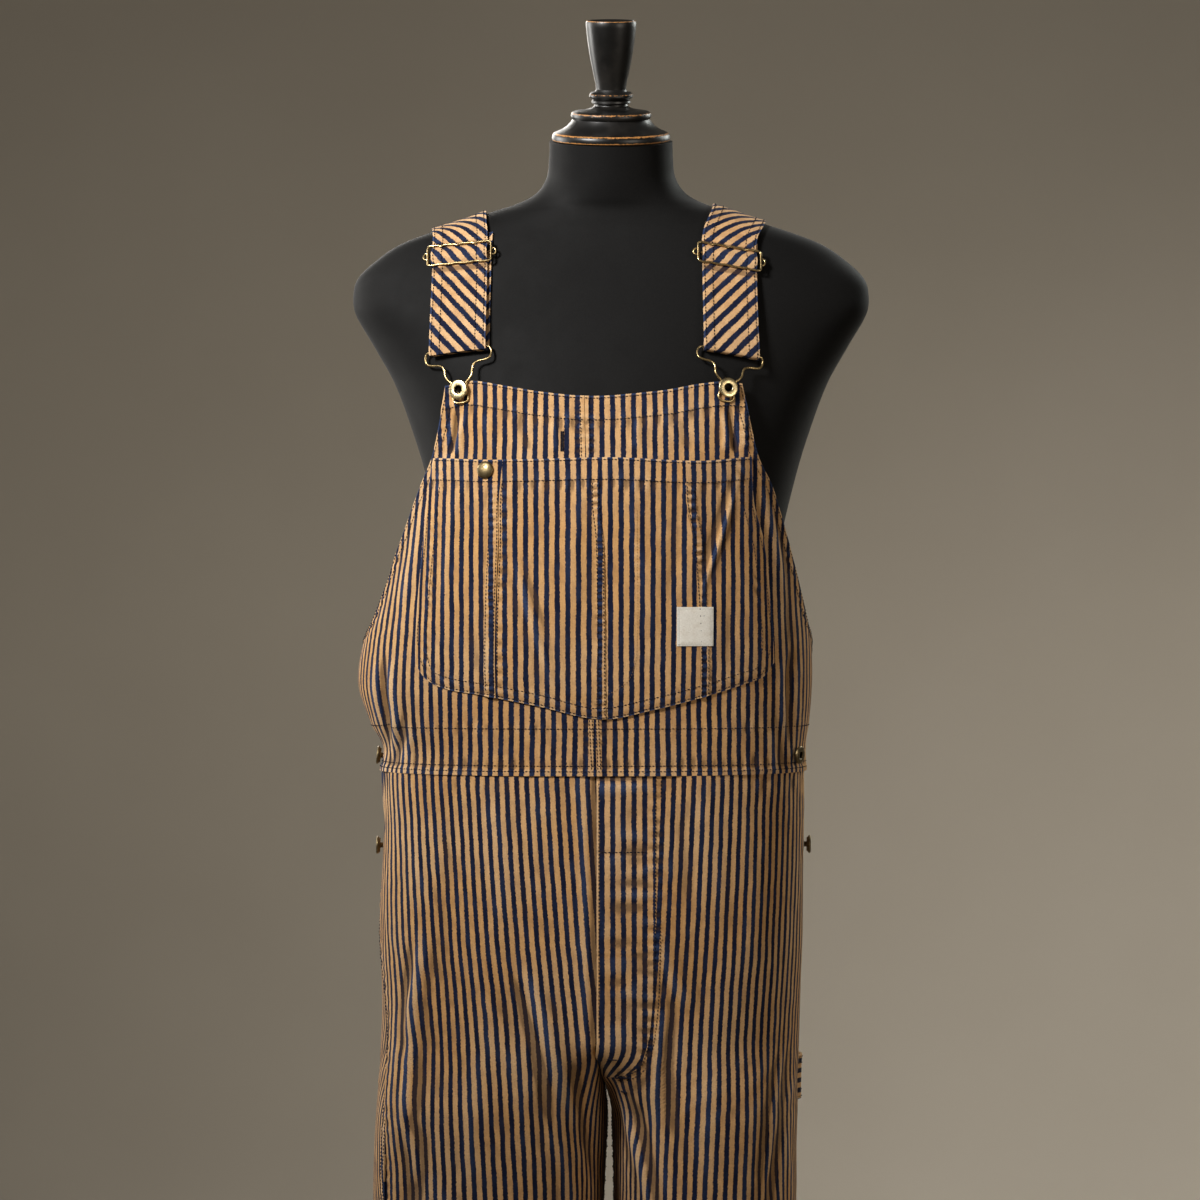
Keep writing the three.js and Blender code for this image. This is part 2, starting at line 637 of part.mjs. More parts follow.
// ---------- straps, sliders, hooks and buttons ----------
function formProfilePoint(x, height, face) {
  const row = rowAt(FORM_RINGS, "height", height);
  const share = Math.max(1 - (Math.abs(x) / row.half) ** row.square, 0);
  const y = (face === "front" ? -row.front : row.back) * share ** (1 / row.square);
  const lean = radians(row.tilt);
  return new THREE.Vector3(x, row.middle + y * Math.cos(lean), height + y * Math.sin(lean));
}

// Height at which the form's shoulder is as wide as x.
function shoulderHeight(x) {
  let low = 1530;
  let high = 1612;
  for (let i = 0; i < 40; i += 1) {
    const middle = (low + high) / 2;
    if (rowAt(FORM_RINGS, "height", middle).half > Math.abs(x)) low = middle;
    else high = middle;
  }
  return low;
}

// The strap's way, from its root on the back to the fold round the hook and back up to the
// slider. drop counts degrees from the ridge of the shoulder, rise is above the fold.
const SHOULDER_RISE = 106; // rise above the fold where the strap leaves the chest
const BACK_STRAP_FOOT = 1352;
const FOLD_RADIUS = 2.6;
const FOLD_LIFT = 4.5;
const FOLD_RISE = 2.4; // middle of the hook's bar above the foot of the fold
const STRAP_WAY = [
  ...[90, 80, 70, 60, 50, 41, 32, 24, 17, 11, 5].map((drop) => ({ face: "back", drop })),
  ...[0, 8, 18, 30, 45, 62, 80].map((drop) => ({ face: "front", drop })),
  { rise: 101, lift: 1.9 },
  { rise: 96, lift: 2 },
  { rise: 91.5, lift: 4.5 },
  { rise: 88.5, lift: 6.8 },
  { rise: 86, lift: 7 },
  { rise: 83.5, lift: 6.4 },
  { rise: 80, lift: 4.5 },
  { rise: 76.5, lift: 3.9 },
  { rise: 72, lift: 4.2 },
  { rise: 50, lift: 5.6 },
  { rise: 25, lift: 6.6 },
  { rise: FOLD_RISE, lift: 7.1, turn: 90 },
  { turn: 45 },
  { turn: 0 },
  { turn: -45 },
  { rise: FOLD_RISE, lift: 1.9, turn: -90 },
  { rise: 25, lift: 1.85 },
  { rise: 50, lift: 1.8 },
  { rise: 68, lift: 1.75 },
  { rise: 83, lift: 1.75 },
];
const STRAP_CLEAR = 2; // middle of the strap above the form's cover

function strapEnd(strap, x) {
  return strap.foldHeight + strap.foldSlope * (x - strap.chest);
}

function formLifted(x, height, face, lift) {
  const surface = (a, b) => formProfilePoint(a, b, face);
  const point = surface(x, height);
  const normal = surfaceNormal(surface, x, height, 0.3, 0.3);
  return point.addScaledVector(normal, face === "front" ? lift : -lift);
}

// One place on the strap: w runs across its width.
function strapPoint(strap, station, w) {
  const across = (w - 0.5) * strap.width;
  if (station.drop !== undefined) {
    const back = station.face === "back";
    const along = 1 - Math.cos(radians(station.drop));
    const start = strap.shoulder;
    const end = back ? strap.root : strap.chest;
    const move = back ? smooth(0, 1, along) : along;
    const x = THREE.MathUtils.lerp(start, end, move) + across;
    const ridge = shoulderHeight(x);
    const foot = back ? BACK_STRAP_FOOT : strapEnd(strap, x) + SHOULDER_RISE;
    const height = ridge - 0.4 - (ridge - 0.4 - foot) * along;
    const onForm = formLifted(x, height, station.face, STRAP_CLEAR);
    if (!back) return onForm;
    const ring = rowAt(BODY_RINGS, "height", height);
    const sewn = PATCH_LIFT + CLOTH / 2;
    const onBack = bodyPoint(ringAngle(ring, x, "back"), height, sewn);
    return onForm.lerp(onBack, smooth(1450, 1402, height));
  }
  const x = strap.chest + across;
  const fold = strapEnd(strap, x);
  if (station.rise === undefined) {
    const turn = radians(station.turn);
    const lift = FOLD_LIFT + FOLD_RADIUS * Math.sin(turn);
    return formLifted(x, fold + FOLD_RISE - FOLD_RADIUS * Math.cos(turn), "front", lift);
  }
  return formLifted(x, fold + station.rise, "front", station.lift);
}

function strapSurface(strap) {
  // Blend between neighbouring stations so that the wall's normals are those of the way.
  return (w, v) => {
    const i = THREE.MathUtils.clamp(Math.floor(v), 0, STRAP_WAY.length - 2);
    const before = strapPoint(strap, STRAP_WAY[Math.max(i - 1, 0)], w);
    const low = strapPoint(strap, STRAP_WAY[i], w);
    const high = strapPoint(strap, STRAP_WAY[i + 1], w);
    const after = strapPoint(strap, STRAP_WAY[Math.min(i + 2, STRAP_WAY.length - 1)], w);
    const curve = new THREE.CatmullRomCurve3([before, low, high, after], false, "catmullrom");
    return curve.getPoint((1 + v - i) / 3);
  };
}

// A point of a hook or slider: across and up from a centre, turned in the front view.
function turnedOffset(across, up, degrees) {
  const turn = radians(degrees);
  return new THREE.Vector2(
    across * Math.cos(turn) - up * Math.sin(turn),
    across * Math.sin(turn) + up * Math.cos(turn),
  );
}

const WIRE_BUTT = 0.4; // half the gap where the two ends of a bent wire meet

// Half of the hook's wire, from the middle of its top bar to the foot of its loop.
const HOOK_HALF = [
  { across: WIRE_BUTT, up: 36, reach: 1 },
  { across: 12, up: 36, reach: 1 },
  { across: 25.6, up: 35.8, reach: 1 },
  { across: 28, up: 33.4, reach: 1 },
  { across: 27.8, up: 28.5, reach: 0.85 },
  { across: 23.5, up: 24.2, reach: 0.72 },
  { across: 15, up: 22.8, reach: 0.66 },
  { across: 11.8, up: 19, reach: 0.55 },
  { across: 10.6, up: 12.5, reach: 0.35 },
  { across: 6.4, up: 6.5, reach: 0.15 },
  { across: 5.2, up: 0, reach: 0 },
  { across: 6.4, up: -6, reach: 0 },
  { across: 4.4, up: -10, reach: 0 },
  { across: 0, up: -11.4, reach: 0 },
];
const HOOK_LIFT = 1.75; // wire's middle above the bib's cloth

function addHook(strap) {
  const foot = frontPoint(strap.button.x, strap.button.height, HOOK_LIFT);
  const slope = THREE.MathUtils.radToDeg(Math.atan(strap.foldSlope));
  const barUp = HOOK_HALF[0].up;
  const place = (row, sign) => {
    const low = turnedOffset(sign * row.across, row.up, strap.hookTurn);
    const onBib = new THREE.Vector3(foot.x + low.x, 0, foot.z + low.y);
    onBib.y = frontPoint(onBib.x, Math.min(onBib.z, BIB_TOP), HOOK_LIFT).y;
    const x = strap.chest + turnedOffset(sign * row.across, row.up - barUp, slope).x;
    const height = strapEnd(strap, x) + FOLD_RISE + row.up - barUp;
    const onStrap = formLifted(x, height, "front", FOLD_LIFT);
    return onBib.lerp(onStrap, smooth(0.1, 1, row.reach));
  };
  const rightHalf = HOOK_HALF.map((row) => place(row, -1)).slice(0, -1).reverse();
  const leftHalf = HOOK_HALF.map((row) => place(row, 1));
  addPiece(`hook_${strap.side}`, wire([...leftHalf, ...rightHalf], 46), "brass");
}

// Slider: a wire frame with a middle bar whose ends stand out past it.
const SLIDER_HALF_WIDTH = 28;
const SLIDER_HALF_HEIGHT = 9.6;
const SLIDER_RISE = 87;
const SLIDER_LIFTS = { top: 4.4, bar: 4.5, bottom: 6.4 };

function addSlider(strap) {
  const slope = Math.atan(strap.foldSlope);
  const place = (across, up, lift) => {
    const x = strap.chest + across * Math.cos(slope);
    const height = strapEnd(strap, x) + SLIDER_RISE + up;
    const share = (up + SLIDER_HALF_HEIGHT) / (2 * SLIDER_HALF_HEIGHT);
    const edge = THREE.MathUtils.lerp(SLIDER_LIFTS.bottom, SLIDER_LIFTS.top, share);
    return formLifted(x, height, "front", lift ?? edge);
  };
  const wide = SLIDER_HALF_WIDTH;
  const tall = SLIDER_HALF_HEIGHT;
  const corner = 2.6;
  const frame = [
    place(WIRE_BUTT, tall), place(wide - corner, tall), place(wide, tall - corner),
    place(wide, corner - tall), place(wide - corner, -tall), place(0, -tall),
    place(corner - wide, -tall), place(-wide, corner - tall), place(-wide, tall - corner),
    place(corner - wide, tall), place(-WIRE_BUTT, tall),
  ];
  addPiece(`slider_${strap.side}`, wire(frame, 32), "brass");
  const reach = wide - WIRE - SEAM_GAP;
  const bar = [-reach, 0, reach].map((across) => place(across, 0, SLIDER_LIFTS.bar));
  addPiece(`slider_bar_${strap.side}`, wire(bar, 6), "brass");
}

const BIB_BUTTON_RADIUS = 8.75;
const SIDE_BUTTON_RADIUS = 8;

function donutButton(radius) {
  const shank = 2.4;
  return turned([
    [0, 0], [shank, 0], [shank, 3.2], [radius - 1, 3.3], [radius, 4.2], [radius - 0.5, 5.6],
    [radius * 0.72, 6.4], [radius * 0.42, 5.8], [radius * 0.34, 4.9], [0, 4.8],
  ], 12);
}

function domeButton(radius) {
  return turned([
    [0, 0], [2.4, 0], [2.4, 1.2], [radius - 0.6, 1.3], [radius, 2], [radius * 0.85, 3.2],
    [radius * 0.5, 4.1], [0, 4.5],
  ], 12);
}

// Sets a button square on the cloth, its shank just clear of it.
function setButton(name, geometry, colour, surface, a, b, stepA, stepB) {
  const normal = surfaceNormal(surface, a, b, stepA, stepB);
  const piece = addPiece(name, geometry, colour);
  piece.quaternion.setFromUnitVectors(new THREE.Vector3(0, 0, 1), normal);
  piece.position.copy(surface(a, b)).addScaledVector(normal, SEAM_GAP);
}

function addHardware() {
  for (const strap of STRAPS) {
    const count = STRAP_WAY.length - 1;
    const band = wallAbout(strapSurface(strap), steps(3), steps(count, 0, count), CLOTH);
    addPiece(`strap_${strap.side}`, band, "cloth");
    addSlider(strap);
    addHook(strap);
    const { x, height } = strap.button;
    const name = `bib_button_${strap.side}`;
    const button = donutButton(BIB_BUTTON_RADIUS);
    setButton(name, button, "brass", (a, b) => frontPoint(a, b), x, height, 1, 1);
  }
  const onPocket = (a, b) => frontPoint(a, b, PATCH_LIFT + CLOTH);
  const { x, height } = PENCIL_STUD;
  setButton("pocket_button", domeButton(7.3), "dark_brass", onPocket, x, height, 1, 1);

  const sideButtons = [
    { name: "side_button_right_upper", side: "right", degrees: -178, height: 1113 },
    { name: "side_button_left_upper", side: "left", degrees: -22, height: 1116 },
  ];
  for (const row of sideButtons) {
    const surface = (a, b) => bodyPoint(a, b, SEAM_GAP);
    const button = donutButton(SIDE_BUTTON_RADIUS);
    setButton(row.name, button, "brass", surface, row.degrees, row.height, 1, 1);
  }
  const lowerButtons = [
    { name: "side_button_right_lower", side: "right", u: 0.06, height: 1033 },
    { name: "side_button_left_lower", side: "left", u: 0.93, height: 1034 },
  ];
  for (const row of lowerButtons) {
    const panel = legPanel(row.side, "front");
    const surface = (a, b) => panel(a, b, -SEAM_GAP);
    const button = donutButton(SIDE_BUTTON_RADIUS);
    setButton(row.name, button, "brass", surface, row.u, row.height, 1e-3, 1);
  }
}

// A wall whose middle follows the surface, for a ribbon that is seen from both sides.
function wallAbout(surface, us, vs, thickness) {
  const lifted = (u, v) => {
    const normal = surfaceNormal(surface, u, v, 1e-3, 1e-3);
    return surface(u, v).addScaledVector(normal, thickness / 2);
  };
  return wall(lifted, us, vs, thickness);
}

// ---------- hammer loop ----------
// A band on the wearer's left leg, sewn down at both ends and standing off between them.
function addHammerLoop() {
  const loop = HAMMER_LOOP;
  const leg = legPanel("left", "back");
  const surface = (u, v) => {
    const out = smooth(0.1, 0.35, u) * smooth(0.9, 0.65, u);
    const lift = SEAM_GAP + CLOTH + loop.stand * out;
    const height = THREE.MathUtils.lerp(loop.low, loop.high, v);
    return leg(THREE.MathUtils.lerp(loop.from, loop.to, u), height, lift);
  };
  addPiece("hammer_loop", wall(surface, steps(12), steps(2), CLOTH), "cloth");
}

addDressForm();
addUpperGarment();
addPocket();
addLegs();
addHardware();
addHammerLoop();

export default model;
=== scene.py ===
"""Bib dungarees in striped cotton on a limbless dress form, with their brass and their stitching.

Tables and shaping functions are in millimetres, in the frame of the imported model: +Z up, the
wearer faces -Y and the wearer's right is at -X. Meshes are made in metres.
"""

import math

import bpy
import numpy as np
from mathutils import Matrix, Vector
from mathutils.bvhtree import BVHTree


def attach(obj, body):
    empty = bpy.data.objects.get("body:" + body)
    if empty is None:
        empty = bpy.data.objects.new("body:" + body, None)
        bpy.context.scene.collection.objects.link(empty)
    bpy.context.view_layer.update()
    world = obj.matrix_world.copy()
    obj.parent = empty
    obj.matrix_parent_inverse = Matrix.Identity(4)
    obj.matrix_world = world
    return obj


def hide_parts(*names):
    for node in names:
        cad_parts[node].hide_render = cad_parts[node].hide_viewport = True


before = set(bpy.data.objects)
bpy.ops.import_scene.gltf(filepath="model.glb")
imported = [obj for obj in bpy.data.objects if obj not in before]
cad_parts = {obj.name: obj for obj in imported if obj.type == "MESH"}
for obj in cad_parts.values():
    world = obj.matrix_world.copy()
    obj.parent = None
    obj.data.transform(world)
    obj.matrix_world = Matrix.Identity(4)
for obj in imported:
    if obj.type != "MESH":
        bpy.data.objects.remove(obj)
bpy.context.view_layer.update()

MM = 0.001

# ---------- sizes shared with the construction ----------
CLOTH = 1.5
SEAM_GAP = 0.3
PATCH_LIFT = 0.9
WAIST = 1100
ARMHOLE = 1190
BIB_TOP = 1440
BACK_TOP = 1392
CROTCH_START = 872
CROTCH_END = 790
SIDE_SEAM_BEHIND = 8
WIRE = 2.0
BASE_RADIUS = 190
BASE_THICKNESS = 12
POLE_X = -112
POLE_RADIUS = 12.5
NECK_TILT = 12.4
FLY_X = -13
BACK_SEAM_X = -16

# height, right, left, front, back, squareness
BODY_RINGS = [
    (780, -212, 166, 131, 136, 2.4),
    (880, -205, 169, 134, 142, 2.4),
    (960, -207, 172, 134, 142, 2.4),
    (1050, -204, 173, 129, 132, 2.4),
    (1098, -206, 173, 125, 124, 2.4),
    (1120, -204, 174, 125, 122, 2.4),
    (1145, -217, 178, 127, 122, 2.35),
    (1178, -227, 181, 129, 121, 2.3),
    (1215, -222, 180, 130, 118, 2.3),
    (1250, -211, 176, 130, 116, 2.3),
    (1310, -197, 172, 128, 112, 2.3),
    (1378, -186, 181, 123, 109, 2.3),
    (1450, -198, 198, 110, 108, 2.3),
]
LEG_RINGS = {
    "right": [
        (50, -188, -42, 80, 87, 2.2),
        (150, -192, -38, 84, 90, 2.2),
        (300, -199, -31, 90, 95, 2.2),
        (450, -206, -22, 98, 102, 2.2),
        (600, -211, -13, 108, 111, 2.3),
        (713, -213.7, -7, 119, 122, 2.4),
        (780, -212, -3.5, 127, 132, 2.5),
        (880, -205, -1.5, 134, 142, 2.5),
    ],
    "left": [
        (50, 26, 157, 80, 87, 2.2),
        (150, 23, 158, 84, 90, 2.2),
        (300, 18, 160, 90, 95, 2.2),
        (450, 12, 162, 98, 102, 2.2),
        (600, 6, 164, 108, 111, 2.3),
        (713, 2.5, 165.6, 119, 122, 2.4),
        (780, 1, 166, 127, 132, 2.5),
        (880, 0, 169, 134, 142, 2.5),
    ],
}
# height, right, left: degrees that each outer leg seam lies in front of the side
OUTSEAMS = [
    (50, 14, -4),
    (400, 26, -4),
    (713, 34, -6),
    (860, 30, -8),
    (990, 2, -8),
    (1050, -8, -8),
    (1100, -8, -8),
]
# height, right, left: open edges from the armholes up
BIB_EDGES = [
    (1190, -226.5, 180.8),
    (1213, -221.5, 178.5),
    (1239, -210.5, 173),
    (1268, -199.4, 166),
    (1294, -190.8, 159.6),
    (1310, -184, 155.4),
    (1351, -168.6, 142),
    (1378, -157.5, 128.7),
    (1409, -150.5, 121),
    (1446, -144.5, 113),
]
BACK_EDGES = [
    (1190, -226.5, 180.8),
    (1205, -219, 175),
    (1230, -196, 158),
    (1262, -160, 128),
    (1300, -127, 97),
    (1345, -103, 73),
    (1395, -92, 62),
]
# height, across
CENTRE_SEAM = [(1100, -13), (1170, -16), (1446, -24)]
# across, height
BIB_TOP_EDGE = [
    (-146, 1440),
    (-123, 1444),
    (-97, 1440),
    (-62, 1433.7),
    (-18, 1429.6),
    (42, 1434.4),
    (77, 1440.7),
    (99, 1443),
    (115, 1441.5),
]
# height, right, left
POCKET_SIDES = [
    (1149, -170, 142),
    (1209, -170.5, 141.5),
    (1253, -168.5, 138.5),
    (1305, -164, 132.5),
    (1334, -161.5, 124.5),
    (1360, -158, 122),
    (1380, -154.5, 121.5),
]
# share of the width, height
POCKET_LOWER_EDGE = [
    (0, 1197),
    (0.03, 1184),
    (0.085, 1175.5),
    (0.18, 1170.5),
    (0.34, 1161),
    (0.515, 1149.5),
    (0.66, 1157.5),
    (0.8, 1168.5),
    (0.92, 1180),
    (0.97, 1186),
    (1, 1198),
]
POCKET_UPPER_EDGE = [(0, 1377), (0.2, 1374), (0.57, 1375.5), (0.83, 1373), (1, 1377.5)]
POCKET_SEAMS = [0, 0.226, 0.53, 0.79, 1]
# height, half width, front, back, middle, tilt, squareness
FORM_RINGS = [
    (868, 136, 92, 98, 0, 0, 2.3),
    (876, 150, 104, 110, 0, 0, 2.3),
    (895, 157, 111, 117, 0, 0, 2.3),
    (960, 160, 113, 121, 0, 0, 2.3),
    (1040, 150, 106, 110, 0, 0, 2.25),
    (1140, 132, 98, 92, 0, 0, 2.2),
    (1220, 138, 105, 96, 0, 0, 2.2),
    (1300, 151, 112, 100, 0, 0, 2.2),
    (1362, 165.6, 117, 103, 0, 0, 2.2),
    (1397, 176, 115, 104, 0, 0, 2.2),
    (1446, 194, 104, 101, 0, 0, 2.2),
    (1482, 214, 92, 96, 0, 0, 2.15),
    (1509, 229.5, 82, 90, 0, 0, 2.1),
    (1524, 232, 76, 85, 0, 0, 2.05),
    (1541, 228, 69, 79, 0, 0, 2.05),
    (1557, 212, 63, 73, 0, 0, 2.05),
    (1572, 190, 58, 67, 0, 0, 2.05),
    (1583, 162, 55, 63, 0, 1, 2.05),
    (1594, 128, 53, 58, -1, 3, 2.05),
    (1602, 106, 52, 56, -2, 5, 2),
    (1608, 86, 51, 54, -4, 7, 2),
    (1617, 68, 51, 53, -7, 9.5, 2),
    (1631, 58, 51, 52, -11, 11.5, 2),
    (1648, 55.5, 51, 51, -15, 12.4, 2),
    (1663, 55, 51, 51, -18.5, 12.4, 2),
]
NECK_TOP = FORM_RINGS[-1]
STRAPS = [
    {
        "side": "right", "shoulder": -135.5, "chest": -132.9, "root": -62, "width": 48.5,
        "fold": 1469.5, "slope": 0.08, "button": (-131.5, 1435.9), "hook_turn": 6, "peek": 3,
    },
    {
        "side": "left", "shoulder": 114.5, "chest": 103.5, "root": 32, "width": 47.5,
        "fold": 1466.5, "slope": -0.16, "button": (100.4, 1436.8), "hook_turn": -8, "peek": 1.5,
    },
]

# ---------- creases, each laid one by one -------
# across and height of both ends, then how wide it is and how far it stands out or sinks in
FRONT_CREASES = [
    # large folds shared with the construction
    (-187, 780, -176, 905, 14, 5),
    (-170, 715, -180, 800, 13, -5),
    (-50, 790, -92, 920, 18, -5),
    (132, 720, 155, 850, 12, -5),
    # thigh and crotch, wearer's right leg
    (-87, 925, -46, 792, 5, -1.6),
    (-72, 925, -28, 800, 8, 1.8),
    (-30, 842, -14, 742, 7, -2.2),
    (-52, 820, -34, 690, 9, 1.6),
    (-168, 958, -170, 880, 6, 2.2),
    (-178, 940, -181, 850, 5, -2),
    (-171, 862, -182, 800, 5, 2.2),
    (-180, 795, -170, 745, 6, 2),
    (-120, 905, -112, 720, 16, 1.4),
    (-140, 1040, -150, 900, 15, -1.3),
    (-98, 1080, -104, 960, 14, 1),
    (-150, 740, -120, 640, 12, 2.2),
    (-60, 700, -90, 600, 14, 2.4),
    (-160, 560, -110, 520, 16, 3),
    (-80, 560, -130, 480, 14, -2.4),
    (-150, 400, -90, 350, 16, 2.6),
    (-70, 330, -130, 260, 13, -2),
    (-160, 190, -100, 160, 15, 2.4),
    (-90, 130, -140, 90, 12, -2),
    # thigh and crotch, wearer's left leg
    (43, 895, 40, 805, 5, 2),
    (49, 890, 50, 800, 6, -1.8),
    (8, 818, 30, 735, 4, 2),
    (19, 812, 40, 735, 5, -2),
    (36, 960, 66, 905, 8, 1.5),
    (153, 852, 134, 735, 3.5, 1.8),
    (160, 850, 142, 735, 4, -1.6),
    (120, 1060, 126, 930, 14, 1.2),
    (95, 930, 84, 740, 16, 1.5),
    (70, 1085, 58, 985, 12, -1),
    (30, 700, 70, 620, 13, 2.4),
    (130, 680, 90, 600, 13, -2),
    (40, 560, 110, 510, 15, 3),
    (130, 490, 80, 430, 13, -2.2),
    (40, 380, 110, 330, 15, 2.6),
    (120, 270, 60, 220, 13, 2.2),
    (50, 170, 110, 130, 13, -2),
]
BIB_CREASES = [
    # pulled up by the buttons
    (-136, 1418, -141, 1379, 2.4, -3),
    (-130, 1414, -134, 1376, 3.2, 1.3),
    (104, 1420, 108, 1379, 2.6, -2.6),
    (98, 1418, 98, 1382, 3.2, 1.2),
    (112, 1415, 118, 1385, 3, 1.2),
    (-110, 1418, -104, 1384, 5, 0.9),
    (-80, 1412, -74, 1382, 5, -0.8),
    (-52, 1408, -50, 1380, 4, 0.8),
    (20, 1408, 24, 1382, 5, 0.8),
    (62, 1412, 66, 1384, 5, -0.8),
    # beside the pocket
    (133, 1358, 153, 1253, 5, 1.4),
    (146, 1330, 160, 1210, 5, -1.4),
    (-170, 1330, -184, 1230, 6, 1),
    # pinched where the wings meet the side openings
    (-201, 1196, -200, 1128, 4.5, -4.2),
    (-193, 1190, -190, 1124, 6, 1.6),
    (-183, 1150, -192, 1104, 4, -1.4),
    (-174, 1140, -181, 1103, 3.5, 1),
    (160, 1200, 156, 1132, 4.5, -3.4),
    (151, 1190, 150, 1128, 6, 1.2),
    (146, 1146, 153, 1104, 4, -1.2),
    (139, 1138, 143, 1103, 3.5, 0.9),
]
POCKET_CREASES = [
    (109, 1353, 82, 1268, 2.2, 1.7),
    (101, 1352, 76, 1268, 3.4, -0.6),
    (-82, 1285, -53, 1176, 5, 1.1),
    (-74, 1280, -44, 1176, 4, -0.8),
    (-66, 1240, -38, 1172, 5, 0.9),
    (-30, 1346, -34, 1250, 9, 0.9),
    (20, 1340, 30, 1230, 9, 0.8),
    (56, 1340, 50, 1260, 7, -0.9),
    (98, 1250, 104, 1190, 6, -0.9),
    (-140, 1340, -148, 1250, 8, 0.9),
    (-128, 1250, -120, 1190, 8, -0.7),
    (118, 1320, 124, 1240, 5, 0.9),
]
BACK_CREASES = [
    # large folds shared with the construction
    (-120, 830, -50, 900, 18, -6),
    (85, 830, 20, 895, 17, -5),
    (-80, 1120, -60, 1260, 20, 5),
    (55, 1110, 38, 1230, 18, 5),
    # seat, thighs and the small of the back
    (-150, 860, -70, 925, 10, 2.6),
    (112, 862, 44, 922, 10, 2.4),
    (-105, 780, -48, 838, 10, 2.8),
    (76, 785, 22, 838, 9, 2.6),
    (-60, 1030, -40, 920, 13, -1.6),
    (30, 1030, 10, 925, 12, -1.5),
    (-150, 1060, -120, 960, 15, 1.6),
    (118, 1060, 92, 965, 14, 1.5),
    (-118, 1105, -104, 1240, 12, -1.8),
    (84, 1105, 76, 1220, 11, -1.7),
    (-150, 1110, -140, 1190, 9, 1.6),
    (112, 1112, 110, 1185, 9, 1.5),
    (-40, 1120, -32, 1215, 9, 1.4),
    (10, 1120, 0, 1210, 9, -1.2),
    (-60, 1380, -50, 1310, 9, 1.2),
    (30, 1380, 22, 1315, 9, 1.1),
    (-170, 720, -110, 660, 13, 2.6),
    (130, 715, 78, 650, 13, 2.4),
    (-80, 640, -150, 585, 14, -2.4),
    (50, 640, 110, 590, 13, 2.6),
    (-170, 560, -100, 520, 15, 3),
    (130, 540, 70, 500, 14, -2.4),
    (-90, 440, -150, 400, 14, 2.6),
    (50, 420, 110, 380, 14, 2.4),
    (-150, 280, -90, 240, 14, -2.2),
    (110, 260, 55, 220, 13, 2.2),
    (-100, 150, -150, 110, 12, 2),
    (60, 140, 110, 100, 12, -2),
]

# ---------- small mathematics ----------
def smooth(start, end, value):
    share = np.clip((value - start) / (end - start), 0, 1)
    return share * share * (3 - 2 * share)


def blend(start, end, share):
    return start + (end - start) * share


def bump(distance, wide):
    return np.exp(-((distance / wide) ** 2))


def table_at(table, place):
    """The columns of a table, smoothly, at places along its first column."""
    rows = np.asarray(table, float)
    keys = rows[:, 0]
    place = np.asarray(place, float)
    i = np.searchsorted(keys[1:-1], place, side="left")
    before, low = np.maximum(i - 1, 0), i
    high, after = i + 1, np.minimum(i + 2, len(keys) - 1)
    span = keys[high] - keys[low]
    share = np.clip((place - keys[low]) / span, 0, 1)
    columns = []
    for column in rows[:, 1:].T:
        slope_low = (column[high] - column[before]) / (keys[high] - keys[before]) * span
        slope_high = (column[after] - column[low]) / (keys[after] - keys[low]) * span
        rise = column[high] - column[low]
        bend = slope_low + slope_high - 2 * rise
        turn = 3 * rise - 2 * slope_low - slope_high
        columns.append(column[low] + share * (slope_low + share * (turn + share * bend)))
    return columns if len(columns) > 1 else columns[0]


LATTICE = np.random.default_rng(41).random((12, 64, 64)) * 2 - 1


def lumps(a, b, layer):
    """Smooth random height from -1 to 1, about one lump to each unit of a and b."""
    grid = LATTICE[layer]
    i, j = np.floor(a).astype(int), np.floor(b).astype(int)
    s, t = smooth(0, 1, a - i), smooth(0, 1, b - j)

    def corner(di, dj):
        return grid[(i + di) % 64, (j + dj) % 64]

    low = blend(corner(0, 0), corner(1, 0), s)
    high = blend(corner(0, 1), corner(1, 1), s)
    return blend(low, high, t)


def rounded(stations, before, after, steps):
    """Stations joined by a smooth way through each, with one more beyond each end."""
    ends = np.concatenate([before, stations, after])
    fine = []
    for i in range(len(stations) - 1):
        p0, p1, p2, p3 = ends[i:i + 4]
        for t in np.linspace(0, 1, steps, endpoint=False):
            fine.append(0.5 * (2 * p1 + (p2 - p0) * t + (2 * p0 - 5 * p1 + 4 * p2 - p3) * t**2
                               + (3 * p1 - p0 - 3 * p2 + p3) * t**3))
    return np.array([*fine, stations[-1]])


def unit(vectors):
    length = np.linalg.norm(vectors, axis=-1, keepdims=True)
    return vectors / np.maximum(length, 1e-9)


# ---------- rings ----------
def ring_xy(ring, degrees):
    right, left, front, back, square = ring
    across, along = np.cos(np.radians(degrees)), np.sin(np.radians(degrees))
    power = 2 / square
    depth = np.where(along < 0, front, back)
    x = (left + right) / 2 + (left - right) / 2 * np.sign(across) * np.abs(across) ** power
    return x, depth * np.sign(along) * np.abs(along) ** power


def ring_angle(ring, x, face):
    right, left, square = ring[0], ring[1], ring[4]
    share = np.clip((x - (left + right) / 2) / ((left - right) / 2), -1, 1)
    degrees = np.degrees(np.arccos(np.sign(share) * np.abs(share) ** (square / 2)))
    return -degrees if face == "front" else degrees


def body_base(degrees, height):
    x, y = ring_xy(table_at(BODY_RINGS, height), degrees)
    return np.stack(np.broadcast_arrays(x, y, height), axis=-1)


def edge_angle(edges, height, side, face):
    ring = table_at(BODY_RINGS, height)
    column = 0 if side == "right" else 1
    x = table_at(edges, np.maximum(height, ARMHOLE))[column]
    sign = -1 if side == "right" else 1
    turn = 90 if face == "front" else -90
    seam = sign * (90 + SIDE_SEAM_BEHIND if face == "front" else 90 - SIDE_SEAM_BEHIND)
    own = ring_angle(ring, x, face) + turn
    own = own if face == "front" else -own
    return blend(seam, own, smooth(ARMHOLE, ARMHOLE + 45, height))


